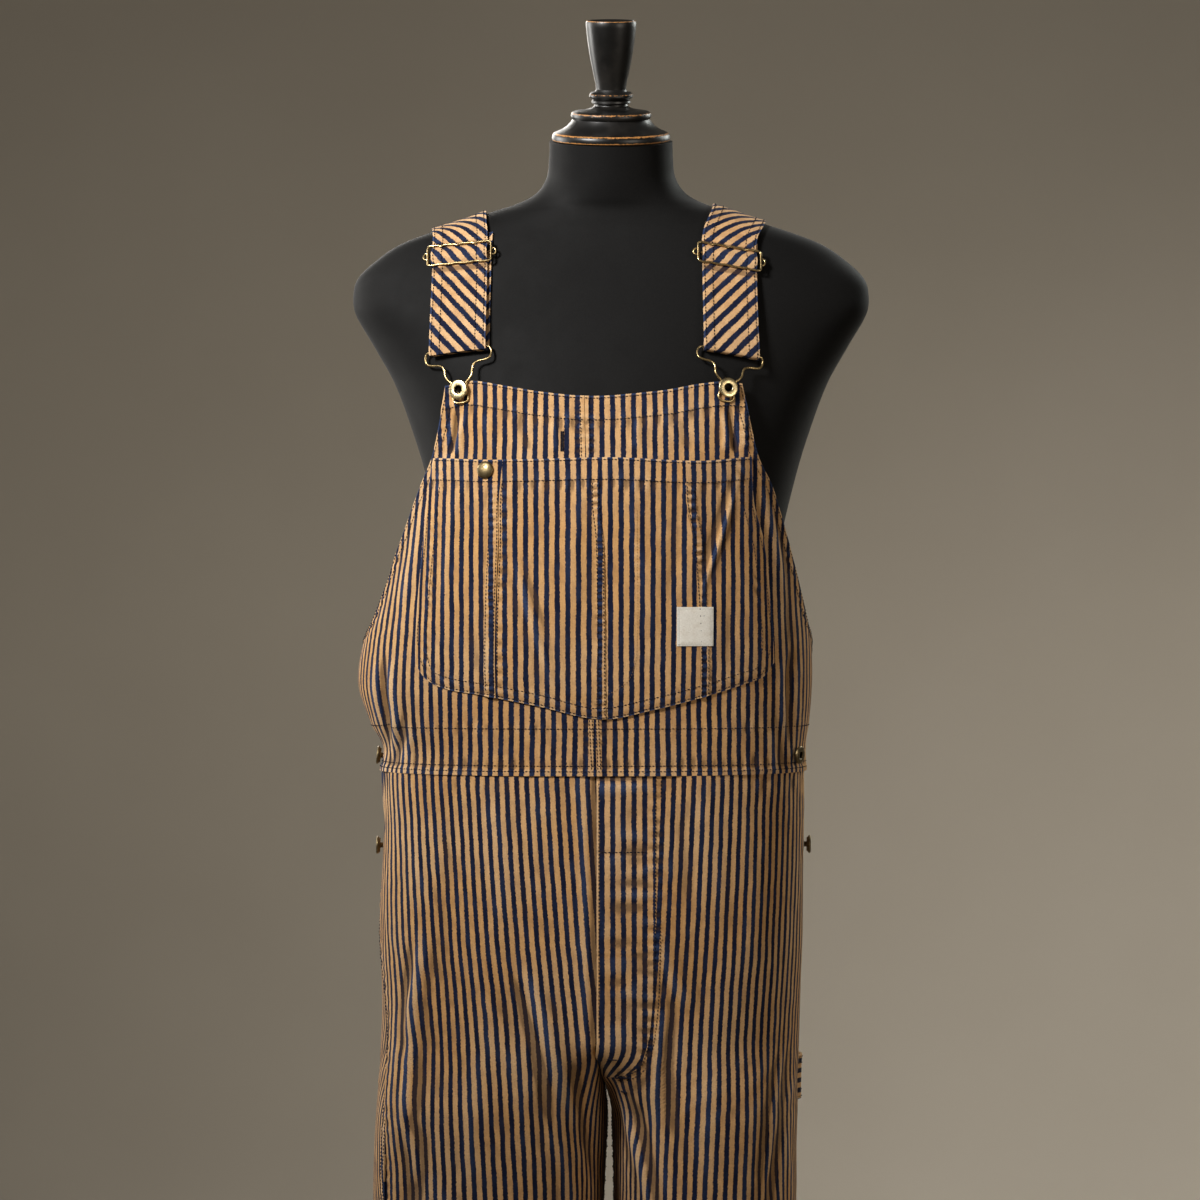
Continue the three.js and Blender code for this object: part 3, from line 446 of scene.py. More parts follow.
def upper_base(side, face):
    """Half of the bib or upper back: share across as worn from right to left, then row."""
    edges = BIB_EDGES if face == "front" else BACK_EDGES
    turn = 90 if face == "front" else -90

    def angle(share, height):
        ring = table_at(BODY_RINGS, height)
        gap = np.degrees(SEAM_GAP / (ring[1] - ring[0]))
        middle_x = table_at(CENTRE_SEAM, height) if face == "front" else BACK_SEAM_X
        middle = ring_angle(ring, middle_x, face) + turn
        middle = middle if face == "front" else -middle
        edge = edge_angle(edges, height, side, face)
        if side == "right":
            return blend(edge + gap, middle - gap, share)
        return blend(middle + gap, edge - gap, share)

    def to_ring(degrees):
        return degrees - 90 if face == "front" else 90 - degrees

    def base(share, row):
        """row is 0 to 1 from the waist to the armhole and 1 to 2 from there to the top."""
        top_level = BIB_TOP if face == "front" else BACK_TOP
        top_x = ring_xy(table_at(BODY_RINGS, top_level), to_ring(angle(share, top_level)))[0]
        if face == "front":
            top = table_at(BIB_TOP_EDGE, top_x)
        else:
            top = BACK_TOP + 6 * ((top_x - BACK_SEAM_X) / 75) ** 2
        low = blend(WAIST + SEAM_GAP / 2, ARMHOLE, np.minimum(row, 1))
        height = np.where(row <= 1, low, blend(ARMHOLE, top, np.maximum(row - 1, 0)))
        return body_base(to_ring(angle(share, height)), height)

    return base


def leg_base(side, face):
    rings = LEG_RINGS[side]
    sign = -1 if side == "right" else 1
    turn = -90 if face == "front" else 90
    flip = 1 if face == "front" else -1
    seam_x = (FLY_X if face == "front" else BACK_SEAM_X) + sign * SEAM_GAP / 2
    outer, inner = (0, 1) if side == "right" else (1, 0)

    def base(share, height):
        body, leg = table_at(BODY_RINGS, height), table_at(rings, height)
        gap = np.degrees(SEAM_GAP / (leg[1] - leg[0]))
        forward = table_at(OUTSEAMS, height)[outer] * flip
        outseam = sign * (90 - forward - gap)
        inseam = -sign * (90 - gap)
        start, end = (outseam, inseam) if side == "right" else (inseam, outseam)
        degrees = turn + flip * blend(start, end, share)
        own_x, own_y = ring_xy(leg, degrees)
        part = (own_x - leg[outer]) / (leg[inner] - leg[outer])
        x = blend(body[outer], seam_x, part)
        in_front = np.sin(np.radians(degrees)) < 0
        angles = np.where(in_front, ring_angle(body, x, "front"), ring_angle(body, x, "back"))
        shared_x, shared_y = ring_xy(body, angles)
        apart = smooth(CROTCH_START, CROTCH_END, height)
        x, y = blend(shared_x, own_x, apart), blend(shared_y, own_y, apart)
        return np.stack(np.broadcast_arrays(x, y, height), axis=-1)

    return base


# ---------- cloth panels ----------
def row_at(place, keys, row):
    """A point or normal of a row of them, at a place along its keys."""
    return [np.interp(place, keys, row[:, axis]) for axis in range(3)]


class Panel:
    """A grid of cloth: rows going up, and how far across its row each point lies."""

    def __init__(self, points, run):
        self.points, self.run = points, run
        self.width = run[:, -1:]
        self.find_normals()
        self.flat_normals = self.normals
        self.flat_points = points.copy()
        self.relief = np.zeros(run.shape)
        self.height = points[..., 2].copy()

    def find_normals(self):
        across = np.gradient(self.points, axis=1)
        up = np.gradient(self.points, axis=0)
        self.normals = unit(np.cross(across, up))

    @property
    def x(self):
        return self.flat_points[..., 0]

    @property
    def z(self):
        return self.flat_points[..., 2]

    def push(self, amount):
        self.points = self.points + self.flat_normals * np.asarray(amount)[..., None]
        self.relief = self.relief + amount

    def edge_line(self, inset, from_end, low=-math.inf, high=math.inf):
        """A line parallel to the first or last edge, with its normals."""
        line = []
        for j, run in enumerate(self.run):
            if low <= self.height[j].mean() <= high:
                place = self.width[j, 0] - inset if from_end else inset
                line.append([row_at(place, run, grid[j]) for grid in (self.points, self.normals)])
        points, normals = np.array(line).swapaxes(0, 1)
        return points, unit(normals)

    def level_line(self, level, drop=None):
        """A line across the panel, at a level or a given drop below its last row."""
        line = []
        for i, heights in enumerate(self.height.T):
            place = level if drop is None else heights[-1] - drop
            line.append([row_at(place, heights, grid[:, i])
                         for grid in (self.points, self.normals)])
        points, normals = np.array(line).swapaxes(0, 1)
        return points, unit(normals)

    def row_line(self, drop):
        return self.level_line(None, drop)


def even_panel(base, rows, columns, reverse=False):
    """A panel on a base surface, its columns evenly spaced along each row."""
    shares = np.linspace(0, 1, 601)
    shares = shares[::-1] if reverse else shares
    dense = base(shares[None, :], np.asarray(rows, float)[:, None])
    steps = np.linalg.norm(np.diff(dense, axis=1), axis=2)
    run = np.concatenate([np.zeros((len(rows), 1)), np.cumsum(steps, axis=1)], axis=1)
    even_run = run[:, -1:] * np.linspace(0, 1, columns + 1)
    points = np.empty((*even_run.shape, 3))
    for j in range(len(rows)):
        for axis in range(3):
            points[j, :, axis] = np.interp(even_run[j], run[j], dense[j, :, axis])
    return Panel(points, even_run)


SHARED_FOLD = 4.5  # folds as large as this are in the construction too
SMALL_FOLDS = 1.45


def creased(panel, creases):
    """Soft ridges and troughs, each a little bent and fading at its ends."""
    x, z = panel.x, panel.z
    facing = np.abs(panel.flat_normals[..., 1])
    total = np.zeros(x.shape)
    for k, (x1, z1, x2, z2, wide, high) in enumerate(creases):
        run_x, run_z = x2 - x1, z2 - z1
        length = math.hypot(run_x, run_z)
        share = ((x - x1) * run_x + (z - z1) * run_z) / length**2
        off = ((x - x1) * run_z - (z - z1) * run_x) / length
        off = off + 0.35 * wide * np.sin(4.2 * share + 1.7 * k)
        ends = smooth(-0.25, 0.3, share) * smooth(1.25, 0.7, share)
        strength = high if abs(high) >= SHARED_FOLD else SMALL_FOLDS * high
        total += strength * ends * bump(off, wide)
    return total * smooth(0, 0.6, facing)


def line_distance(x, z, line):
    """Distance to a line of points, and how far along it the nearest place is."""
    best = np.full(x.shape, 1e9)
    along = np.zeros(x.shape)
    done = 0.0
    for (x1, z1), (x2, z2) in zip(line[:-1], line[1:]):
        length = math.hypot(x2 - x1, z2 - z1)
        share = np.clip(((x - x1) * (x2 - x1) + (z - z1) * (z2 - z1)) / length**2, 0, 1)
        distance = np.hypot(x - blend(x1, x2, share), z - blend(z1, z2, share))
        nearer = distance < best
        along = np.where(nearer, done + share * length, along)
        best = np.where(nearer, distance, best)
        done += length
    return best, along


def puckers(distance, run, pitch, wide, high, layer):
    """Small uneven puckers that a row of stitching draws up."""
    phase = run / pitch + 0.45 * lumps(run / (3.1 * pitch), distance * 0 + 3.7, layer)
    size = 0.65 + 0.5 * lumps(run / (2.3 * pitch), distance * 0 + 9.1, layer)
    return 1.7 * high * size * np.cos(2 * math.pi * phase) * bump(distance, wide)


def general_wave(panel, layer, high):
    """The slow unevenness of cloth that hangs free."""
    a, z = panel.run, panel.z
    slow = lumps(a / 47 + 3, z / 90 + 5, layer) + 0.55 * lumps(a / 21, z / 44, layer + 1)
    small = 0.3 * lumps(a / 9, z / 17, layer + 2)
    return high * (slow + small)


def even_rows(*stretches):
    """Heights from (start, end, count) stretches, each going on from the last."""
    rows = []
    for start, end, count in stretches:
        rows.extend(np.linspace(start, end, count + 1)[:-1])
    rows.append(stretches[-1][1])
    return np.array(rows)


# ---------- where the stripes run ----------
STRIPE = 9.25  # one dark and one light stripe
# height, across on the wearer's right leg, on the left leg
LEG_GRAIN = [
    (50, -90, 55),
    (450, -86, 51),
    (600, -87, 52),
    (743, -92.1, 55),
    (778, -93.8, 56.1),
    (813, -95.5, 57.3),
    (847, -97.3, 58.4),
    (882, -99.9, 60.2),
    (916, -103.3, 62.5),
    (950, -106.8, 65),
    (985, -109.4, 66.7),
    (1020, -112, 68.4),
    (1088, -116.3, 71.4),
    (1100, -116.6, 71.6),
]


def stripe_map(panel, grain_x, face):
    """Distance across the stripes from the thread that hangs at grain_x, and height."""
    across = np.empty(panel.run.shape)
    grain_x = np.broadcast_to(grain_x, panel.run.shape[:1])
    flat = panel.flat_points
    for j in range(len(across)):
        y = flat[j, :, 1] if face == "back" else -flat[j, :, 1]
        seen = y > 0.5 * y.max()
        x, run = flat[j, seen, 0], panel.run[j, seen]
        order = np.argsort(x)
        across[j] = panel.run[j] - np.interp(grain_x[j], x[order], run[order])
    return np.stack([across, panel.z], axis=-1)


# ---------- meshes ----------
materials = {}


def deselect():
    for item in bpy.context.selected_objects:
        item.select_set(False)


def choose(item):
    deselect()
    item.select_set(True)
    bpy.context.view_layer.objects.active = item


def grid_faces(rows, columns, closed=False):
    index = np.arange(rows * columns).reshape(rows, columns)
    if closed:
        index = np.concatenate([index, index[:, :1]], axis=1)
    corners = [index[:-1, :-1], index[:-1, 1:], index[1:, 1:], index[1:, :-1]]
    return np.stack(corners, axis=-1).reshape(-1, 4)


def grid_mesh(name, points, closed=False):
    """A mesh from rows of points in millimetres; closed joins each row's ends."""
    faces = grid_faces(*points.shape[:2], closed)
    mesh = bpy.data.meshes.new(name)
    mesh.from_pydata((points.reshape(-1, 3) * MM).tolist(), [], faces.tolist())
    return mesh


def add_object(name, mesh):
    item = bpy.data.objects.new(name, mesh)
    bpy.context.scene.collection.objects.link(item)
    return item


CREST_REACH = 4  # cells of the grid to each side


def crests(panel):
    """Small relief against its surroundings: crests above 0 for rubbed wear, troughs below 0 for
    painted shade.
    """
    around = panel.relief
    for _ in range(2):  # along the rows, then up the columns
        padded = np.pad(around.T, [(CREST_REACH, CREST_REACH), (0, 0)], mode="edge")
        total = np.cumsum(np.insert(padded, 0, 0, axis=0), axis=0)
        window = 2 * CREST_REACH + 1
        around = (total[window:] - total[:-window]) / window
    return np.clip(1.1 * (panel.relief - around), -1, 1)


def set_map(mesh, values, name="weave_map"):
    """Writes a weave map, in metres, from one pair of values for each vertex."""
    corner = np.empty(len(mesh.loops), int)
    mesh.loops.foreach_get("vertex_index", corner)
    layer = mesh.uv_layers.new(name=name)
    layer.data.foreach_set("uv", (values.reshape(-1, 2)[corner] * MM).ravel())


def set_attribute(mesh, name, values):
    attribute = mesh.attributes.new(name, "FLOAT", "POINT")
    attribute.data.foreach_set("value", np.asarray(values, np.float32).ravel())


def apply_modifiers(item):
    choose(item)
    for modifier in list(item.modifiers):
        bpy.ops.object.modifier_apply(modifier=modifier.name)


def close_ends(item, fill=True):
    """Fills the open ends of a piece, if asked, and turns its faces outwards."""
    choose(item)
    bpy.ops.object.mode_set(mode="EDIT")
    if fill:
        bpy.ops.mesh.select_all(action="SELECT")
        bpy.ops.mesh.fill_holes(sides=0)
    bpy.ops.mesh.select_all(action="SELECT")
    bpy.ops.mesh.normals_make_consistent(inside=False)
    bpy.ops.object.mode_set(mode="OBJECT")


def smooth_faces(item, degrees):
    choose(item)
    bpy.ops.object.shade_smooth_by_angle(angle=math.radians(degrees))


def finish_piece(item, nodes, material):
    item.data.materials.clear()
    item.data.materials.append(materials[material])
    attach(item, "root")
    if nodes:
        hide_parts(*nodes)


def cloth_piece(name, panel, weave, nodes, edges, material="striped_cotton", thickness=CLOTH,
                inlay=None):
    """Gives a panel its thickness, map, and marks of wear and painted shade."""
    mesh = grid_mesh(name, panel.points)
    set_map(mesh, weave)
    if inlay:
        set_map(mesh, inlay[0], "inlay_map")
        set_attribute(mesh, "inlay", inlay[1])
    # wear on the crests, painted shade in the troughs
    set_attribute(mesh, "wear_and_shade", crests(panel))
    set_attribute(mesh, "edge_distance", edges * MM)
    item = add_object(name, mesh)
    solid = item.modifiers.new("cloth thickness", "SOLIDIFY")
    solid.thickness = thickness * MM
    solid.offset = -1
    apply_modifiers(item)
    smooth_faces(item, 55)
    finish_piece(item, nodes, material)


FAR = 50  # more than any effect of an edge reaches


def open_edges(panel, first=False, last=False, top=False, bottom=False):
    """Distance to the nearest of the panel's named edges."""
    distance = np.full(panel.run.shape, float(FAR))
    if first:
        distance = np.minimum(distance, panel.run)
    if last:
        distance = np.minimum(distance, panel.width - panel.run)
    if top:
        distance = np.minimum(distance, panel.height[-1:] - panel.height)
    if bottom:
        distance = np.minimum(distance, panel.height - panel.height[:1])
    return distance


# ---------- stitching ----------
STITCH_PITCH = 3.2
STITCH_LONG = 2.9
STITCH_HALF = 0.5
stitch_random = np.random.default_rng(7)


def stitch_row(line, lift=0.42, pitch=STITCH_PITCH, long=STITCH_LONG, half=STITCH_HALF):
    """Slender six-cornered beads of thread along a line of points."""
    points, normals = line
    steps = np.linalg.norm(np.diff(points, axis=0), axis=1)
    run = np.concatenate([[0], np.cumsum(steps)])
    count = int(run[-1] / pitch)
    if count < 1:
        return np.empty((0, 6, 3))
    starts = (np.arange(count) + 0.5 * (run[-1] / pitch - count)) * pitch
    starts = starts + stitch_random.uniform(-0.12, 0.12, count)
    spots = []
    for places in (starts, starts + long / 2, starts + long):
        spots.append(np.stack([np.interp(places, run, points[:, k]) for k in range(3)], axis=-1))
    normal = unit(np.stack([np.interp(starts, run, normals[:, k]) for k in range(3)], axis=-1))
    side = unit(np.cross(normal, spots[2] - spots[0]))
    middle = spots[1] + normal * lift
    return np.stack([
        spots[0] + normal * 0.2, middle + side * half, middle + normal * half,
        middle - side * half, middle - normal * half, spots[2] + normal * 0.2,
    ], axis=1)


BEAD_FACES = np.array([
    (0, 1, 2), (0, 2, 3), (0, 3, 4), (0, 4, 1), (5, 2, 1), (5, 3, 2), (5, 4, 3), (5, 1, 4),
])


def stitching(name, lines, material="dark_thread", **sizes):
    beads = np.concatenate([stitch_row(line, **sizes) for line in lines if len(line[0]) > 1])
    faces = (BEAD_FACES[None] + 6 * np.arange(len(beads))[:, None, None]).reshape(-1, 3)
    mesh = bpy.data.meshes.new(name)
    mesh.from_pydata((beads.reshape(-1, 3) * MM).tolist(), [], faces.tolist())
    item = add_object(name, mesh)
    close_ends(item, fill=False)
    bpy.ops.object.shade_smooth()
    finish_piece(item, (), material)


def surface_tree(*panels):
    """Something to lay lines on: the outer faces of the panels."""
    points, faces, done = [], [], 0
    for panel in panels:
        rows, columns = panel.points.shape[:2]
        faces.extend((grid_faces(rows, columns) + done).tolist())
        points.extend(panel.points.reshape(-1, 3).tolist())
        done += rows * columns
    return BVHTree.FromPolygons(points, faces)


IN_FRONT = -600  # clear of the whole garment


def laid_line(tree, corners, step=2.5):
    """Points and normals where a line, given across and up, falls on the cloth in front."""
    corners = np.array(corners, float)
    runs = np.concatenate([[0], np.cumsum(np.linalg.norm(np.diff(corners, axis=0), axis=1))])
    places = np.linspace(0, runs[-1], max(int(runs[-1] / step), 2) + 1)
    if len(corners) > 2:
        x, z = table_at(np.column_stack([runs, corners]), places)
    else:
        x, z = np.interp(places, runs, corners[:, 0]), np.interp(places, runs, corners[:, 1])
    points, normals = [], []
    for px, pz in zip(x, z):
        hit, normal, _, _ = tree.ray_cast(Vector((px, IN_FRONT, pz)), Vector((0, 1, 0)))
        if hit is not None:
            points.append(hit)
            normals.append(normal if normal.y < 0 else -normal)
    return np.array(points), np.array(normals)


# ---------- the dress form's surface ----------
def form_ring_point(height, degrees):
    half, front, back, middle, tilt, square = table_at(FORM_RINGS, height)
    x, y = ring_xy((-half, half, front, back, square), degrees)
    lean = np.radians(tilt)
    place = (x, middle + y * np.cos(lean), height + y * np.sin(lean))
    return np.stack(np.broadcast_arrays(*place), axis=-1)


def form_point(x, height, face):
    half, front, back, middle, tilt, square = table_at(FORM_RINGS, height)
    share = np.maximum(1 - (np.abs(x) / half) ** square, 0)
    y = (-front if face == "front" else back) * share ** (1 / square)
    lean = np.radians(tilt)
    place = (x, middle + y * np.cos(lean), height + y * np.sin(lean))
    return np.stack(np.broadcast_arrays(*place), axis=-1)


def form_lifted(x, height, face, lift):
    x, height = np.broadcast_arrays(np.asarray(x, float), np.asarray(height, float))
    across = form_point(x + 0.3, height, face) - form_point(x - 0.3, height, face)
    up = form_point(x, height + 0.3, face) - form_point(x, height - 0.3, face)
    normal = unit(np.cross(across, up))
    lift = np.asarray(lift if face == "front" else -lift, float)
    return form_point(x, height, face) + normal * lift[..., None]


def shoulder_height(x):
    low, high = np.full(x.shape, 1530.0), np.full(x.shape, 1612.0)
    for _ in range(40):
        middle = (low + high) / 2
        wide = table_at(FORM_RINGS, middle)[0] > np.abs(x)
        low, high = np.where(wide, middle, low), np.where(wide, high, middle)
    return low


def body_point(degrees, height, lift=0.0):
    degrees, height = np.broadcast_arrays(np.asarray(degrees, float), np.asarray(height, float))
    across = body_base(degrees + 0.5, height) - body_base(degrees - 0.5, height)
    up = body_base(degrees, height + 0.5) - body_base(degrees, height - 0.5)
    return body_base(degrees, height) + unit(np.cross(across, up)) * lift


def front_point(x, height, lift=0.0):
    ring = table_at(BODY_RINGS, height)
    return body_point(ring_angle(ring, x, "front"), height, lift)


# ---------- bib and upper back ----------
TOP_HEM = 21  # depth of the hem along the bib's top edge
FACING_LINE = 1141  # level stitching above the waist
SEAM_HALF = 4.2  # half the width of a felled seam
WAIST_STITCHES = [WAIST + 4, WAIST + 8.8]
HEM_STITCH = 74
RIM_STITCH = 2.2  # in from the open edges
RIM_STITCH_INNER = 8.6


def gathers(panel, from_side, seam_level):
    """Fine upright gathers beside the side openings, strongest at the waist seam."""
    reach = smooth(75, 18, from_side) * bump(panel.z - seam_level, 34)
    phase = from_side / 7.6 + 0.7 * lumps(from_side / 19, panel.z / 60, 5)
    return 1.15 * reach * np.cos(2 * math.pi * phase)


def pocket_depth(x, z):
    """How far a place lies inside the pocket's outline."""
    right, left = table_at(POCKET_SIDES, z)
    share = (x - right) / (left - right)
    low = table_at(POCKET_LOWER_EDGE, np.clip(share, 0, 1))
    return np.minimum(np.minimum(x - right, left - x), z - low)


def felled_seam(from_seam, z):
    """The raised half of the centre seam, drawn up along its outer stitching."""
    raised = 0.75 * smooth(SEAM_HALF + 1, SEAM_HALF - 1, from_seam)
    return raised + puckers(from_seam - SEAM_HALF, z, 8.5, 4, 0.5, 2)


def waist_seam(x, z):
    return smooth(WAIST + 6.5, WAIST + 4.5, z) + puckers(z - WAIST - 10, x, 9.3, 7, 0.42, 4)


def shape_bib(panel, side):
    x, z, run = panel.x, panel.z, panel.run
    from_side = run if side == "right" else panel.width - run
    amount = creased(panel, BIB_CREASES) + general_wave(panel, 0, 0.75)
    under_pocket = smooth(-3, 6, pocket_depth(x, z)) * smooth(1385, 1378, z)
    amount = amount * (1 - under_pocket)
    from_top = panel.height[-1:] - z
    amount += 0.55 * smooth(TOP_HEM + 1, TOP_HEM - 1, from_top)
    amount += puckers(np.abs(from_top - TOP_HEM - 3), x, 12.5, 7, 0.5, 1)
    amount += felled_seam(abs(run - (panel.width if side == "right" else 0)), z)
    amount += puckers(z - FACING_LINE, x, 10.5, 5, 0.38, 3)
    amount += waist_seam(x, z)
    amount += gathers(panel, from_side, WAIST) * (1 - under_pocket)
    rim = np.where(z > ARMHOLE + 12, from_side, FAR)
    amount += 0.45 * smooth(9, 7, rim) + puckers(rim - 8, z, 9.5, 5, 0.4, 6)
    panel.push(amount)
    panel.find_normals()


def shape_back(panel, side):
    x, z, run = panel.x, panel.z, panel.run
    amount = creased(panel, BACK_CREASES) + general_wave(panel, 3, 0.9)
    amount = amount * smooth(1352, 1300, z)
    # the back is worked from the wearer's left, so its right half starts at the centre seam
    centre = panel.width - run if side == "left" else run
    amount += felled_seam(centre, z) + waist_seam(x, z)
    from_side = panel.width - centre
    amount += gathers(panel, from_side, WAIST)
    rim = np.where(z > ARMHOLE + 12, from_side, FAR)
    amount += 0.3 * smooth(9, 7, rim) + puckers(rim - 8, z, 9.5, 5, 0.3, 6)
    panel.push(amount)
    panel.find_normals()


BIB_GRAIN = {"right": [(1100, -41), (1440, -38.5)], "left": [(1100, 12.6), (1440, 10)]}
UPPER_ROWS = even_rows((0, 1, 36), (1, 2, 104))
BACK_ROWS = even_rows((0, 1, 28), (1, 2, 62))


def make_upper():
    panels = {}
    for side in ("right", "left"):
        bib = even_panel(upper_base(side, "front"), UPPER_ROWS, 104)
        shape_bib(bib, side)
        grain = table_at(BIB_GRAIN[side], bib.z.mean(axis=1))
        edges = open_edges(bib, first=side == "right", last=side == "left", top=True)
        edges = np.where(bib.z > ARMHOLE, edges, FAR)
        cloth_piece(f"bib_cloth_{side}", bib, stripe_map(bib, grain, "front"),
                    [f"bib_{side}"], edges)
        panels["bib_" + side] = bib
        back = even_panel(upper_base(side, "back"), BACK_ROWS, 66, reverse=True)
        shape_back(back, side)
        edges = open_edges(back, first=side == "left", last=side == "right", top=True)
        edges = np.where(back.z > ARMHOLE, edges, FAR)
        grain = np.full(len(BACK_ROWS), -70.0 if side == "right" else 40.0)
        cloth_piece(f"back_cloth_{side}", back, stripe_map(back, grain, "back"),
                    [f"upper_back_{side}"], edges)
        panels["back_" + side] = back
    return panels


# ---------- bib pocket and label ----------
POCKET_GRAIN = [-130.1, -37.6, 8.3, 97.4]
POCKET_LIFT = PATCH_LIFT + CLOTH
POCKET_HEM = 19
PENCIL_STRIP = 10
CENTRE_BAND = 7
END_BAND = 8.5
INNER_POCKET = [(22, 1331), (22, 1208), (16, 1185), (5.7, 1175.6), (-6.4, 1169.6)]


def pocket_base(number):
    def base(share, row):
        start, end = POCKET_SEAMS[number], POCKET_SEAMS[number + 1]
        inset = SEAM_GAP / 600
        place = blend(start + inset, end - inset, share)
        low, high = table_at(POCKET_LOWER_EDGE, place), table_at(POCKET_UPPER_EDGE, place)
        height = blend(low, high, row)
        right, left = table_at(POCKET_SIDES, height)
        return front_point(blend(right, left, place), height, POCKET_LIFT)

    return base


def shape_pocket(panel, number):
    x, z, run = panel.x, panel.z, panel.run
    depth = pocket_depth(x, z)
    from_top = panel.height[-1:] - z
    inside = smooth(9, 26, depth)
    label_place = bump(x - 71, 26) * bump(z - 1230, 28)
    amount = (creased(panel, POCKET_CREASES) + general_wave(panel, 6, 0.8)) * inside
    amount = amount * (1 - 0.75 * label_place) + 0.5 * inside - 0.75 * smooth(7, 1, depth)
    amount += puckers(depth - 9.5, x + z, 9.6, 4.5, 0.42, 7)
    amount += 0.5 * smooth(POCKET_HEM + 0.8, POCKET_HEM - 0.8, from_top)
    amount += puckers(from_top - POCKET_HEM - 4, x, 10.8, 5, 0.45, 8)
    ribbed = smooth(POCKET_HEM, POCKET_HEM + 4, from_top)
    last = panel.width - run
    if number == 0:
        amount += ribbed * 0.9 * smooth(PENCIL_STRIP + 0.8, PENCIL_STRIP - 0.8, last)
        amount += ribbed * puckers(last - 5, z, 6.6, 4, 0.62, 9)
    if number == 1:
        amount += ribbed * 0.6 * smooth(CENTRE_BAND + 0.8, CENTRE_BAND - 0.8, last)
        amount += ribbed * puckers(last - 3.5, z, 6.4, 3.4, 0.75, 10)
        amount += ribbed * puckers(run - 4, z, 12, 4, 0.4, 4)
    if number == 3:
        amount += ribbed * 0.6 * smooth(END_BAND + 0.8, END_BAND - 0.8, run)
        amount += ribbed * puckers(run - 4, z, 7.2, 3.6, 0.75, 11)
    if number == 2:
        inner, along = line_distance(x, z, INNER_POCKET)
        amount += puckers(inner, along, 8, 3, 0.22, 9)
    panel.push(amount)
    panel.find_normals()


def make_pocket():
    rows = even_rows((0, 1, 108))
    names = ["pencil", "right", "left", "end"]
    panels = {}
    for number, name in enumerate(names):
        wide = POCKET_SEAMS[number + 1] - POCKET_SEAMS[number]
        panel = even_panel(pocket_base(number), rows, round(wide * 165))
        shape_pocket(panel, number)
        grain = np.full(len(rows), float(POCKET_GRAIN[number]))
        edges = open_edges(panel, first=number == 0, last=number == 3, top=True, bottom=True)
        weave = stripe_map(panel, grain, "front")
        cloth_piece(f"pocket_cloth_{name}", panel, weave, [f"bib_pocket_{name}"], edges)
        panels[name] = panel
    return panels


LABEL = {"right": 55.9, "left": 87.1, "low": 1212.8, "high": 1246.5, "thick": 1.0}


def make_label():
    lift = POCKET_LIFT + PATCH_LIFT + LABEL["thick"]

    def base(share, row):
        x = blend(LABEL["right"], LABEL["left"], share)
        return front_point(x, blend(LABEL["low"], LABEL["high"], row), lift)

    panel = even_panel(base, even_rows((0, 1, 34)), 32)
    edge = open_edges(panel, True, True, True, True)
    ruffle = 0.25 * lumps(panel.run / 6, panel.z / 6, 2) * smooth(7, 0, edge)
    panel.push(-0.3 * smooth(3.2, 1.4, edge) + ruffle + 0.2 * general_wave(panel, 2, 1))
    panel.find_normals()
    weave = np.stack([panel.run, panel.z], axis=-1)
    cloth_piece("label_cloth", panel, weave, ["label"], edge, "woven_label", LABEL["thick"])
    return panel


# ---------- legs ----------
FLY_LINE = [(38.5, 1098), (37, 925), (33, 876), (26, 851), (14, 841), (2, 838)]
FLY_FOOT = 866
LEG_EASE = 1.05  # the legs' cloth is drawn in this much across
TACKS = [1034.6, 946]
FRONT_LEG_ROWS = even_rows((50, 690, 110), (690, WAIST, 160))
BACK_LEG_ROWS = even_rows((50, 690, 84), (690, WAIST, 96))


def shape_leg(panel, side, face):
    x, z, run = panel.x, panel.z, panel.run
    outer_first = (side == "right") == (face == "front")
    from_outseam = run if outer_first else panel.width - run
    from_inner = panel.width - from_outseam
    creases = FRONT_CREASES if face == "front" else BACK_CREASES
    amount = creased(panel, creases) + general_wave(panel, 1 if face == "front" else 4, 1.0)
    # the felled outer seam draws the cloth up like a rope
    seam = smooth(1040, 980, z)
    amount += seam * puckers(from_outseam - 4, z, 10.5, 6, 0.34, 5)
    if face == "back":
        amount += 0.7 * smooth(9, 7, from_outseam)
    amount += puckers(from_inner - 3, z, 10, 5, 0.5, 6) * smooth(CROTCH_START, CROTCH_END, z)
    amount += gathers(panel, from_outseam, WAIST - 8)
    amount += puckers(z - 1091, x, 9.3, 6, 0.3, 7)
    # hem
    amount += 0.6 * smooth(76, 74, z) + puckers(z - 79, x, 11, 7, 0.55, 8)
    if face == "back":
        seat = smooth(CROTCH_END, CROTCH_START, z)
        amount += seat * 0.7 * smooth(SEAM_HALF + 1, SEAM_HALF - 1, from_inner)
        amount += seat * puckers(from_inner - SEAM_HALF, z, 8.5, 4, 0.5, 9)
    elif side == "left":
        line, along = line_distance(x, z, FLY_LINE)
        inside = smooth(FLY_FOOT - 26, FLY_FOOT + 6, z) * smooth(1098, 1092, z)
        across = smooth(48, 0, from_inner)
        amount += inside * (0.5 * smooth(40, 36, x) + 2.3 * across)
        amount += puckers(line, along, 11, 7, 0.6, 10) * smooth(1100, 1090, z)
        folds = lumps(z / 10.5, x / 30, 11) * 1.1 + lumps(z / 19, x / 22, 2) * 0.8
        amount += folds * inside * bump(x - 16, 20)
        for level in TACKS:
            amount -= 0.7 * bump(z - level, 2.2) * smooth(46, 40, from_inner)
    else:
        amount -= 2.6 * smooth(11, 1, from_inner) * smooth(850, 880, z)
    panel.push(amount)
    panel.find_normals()


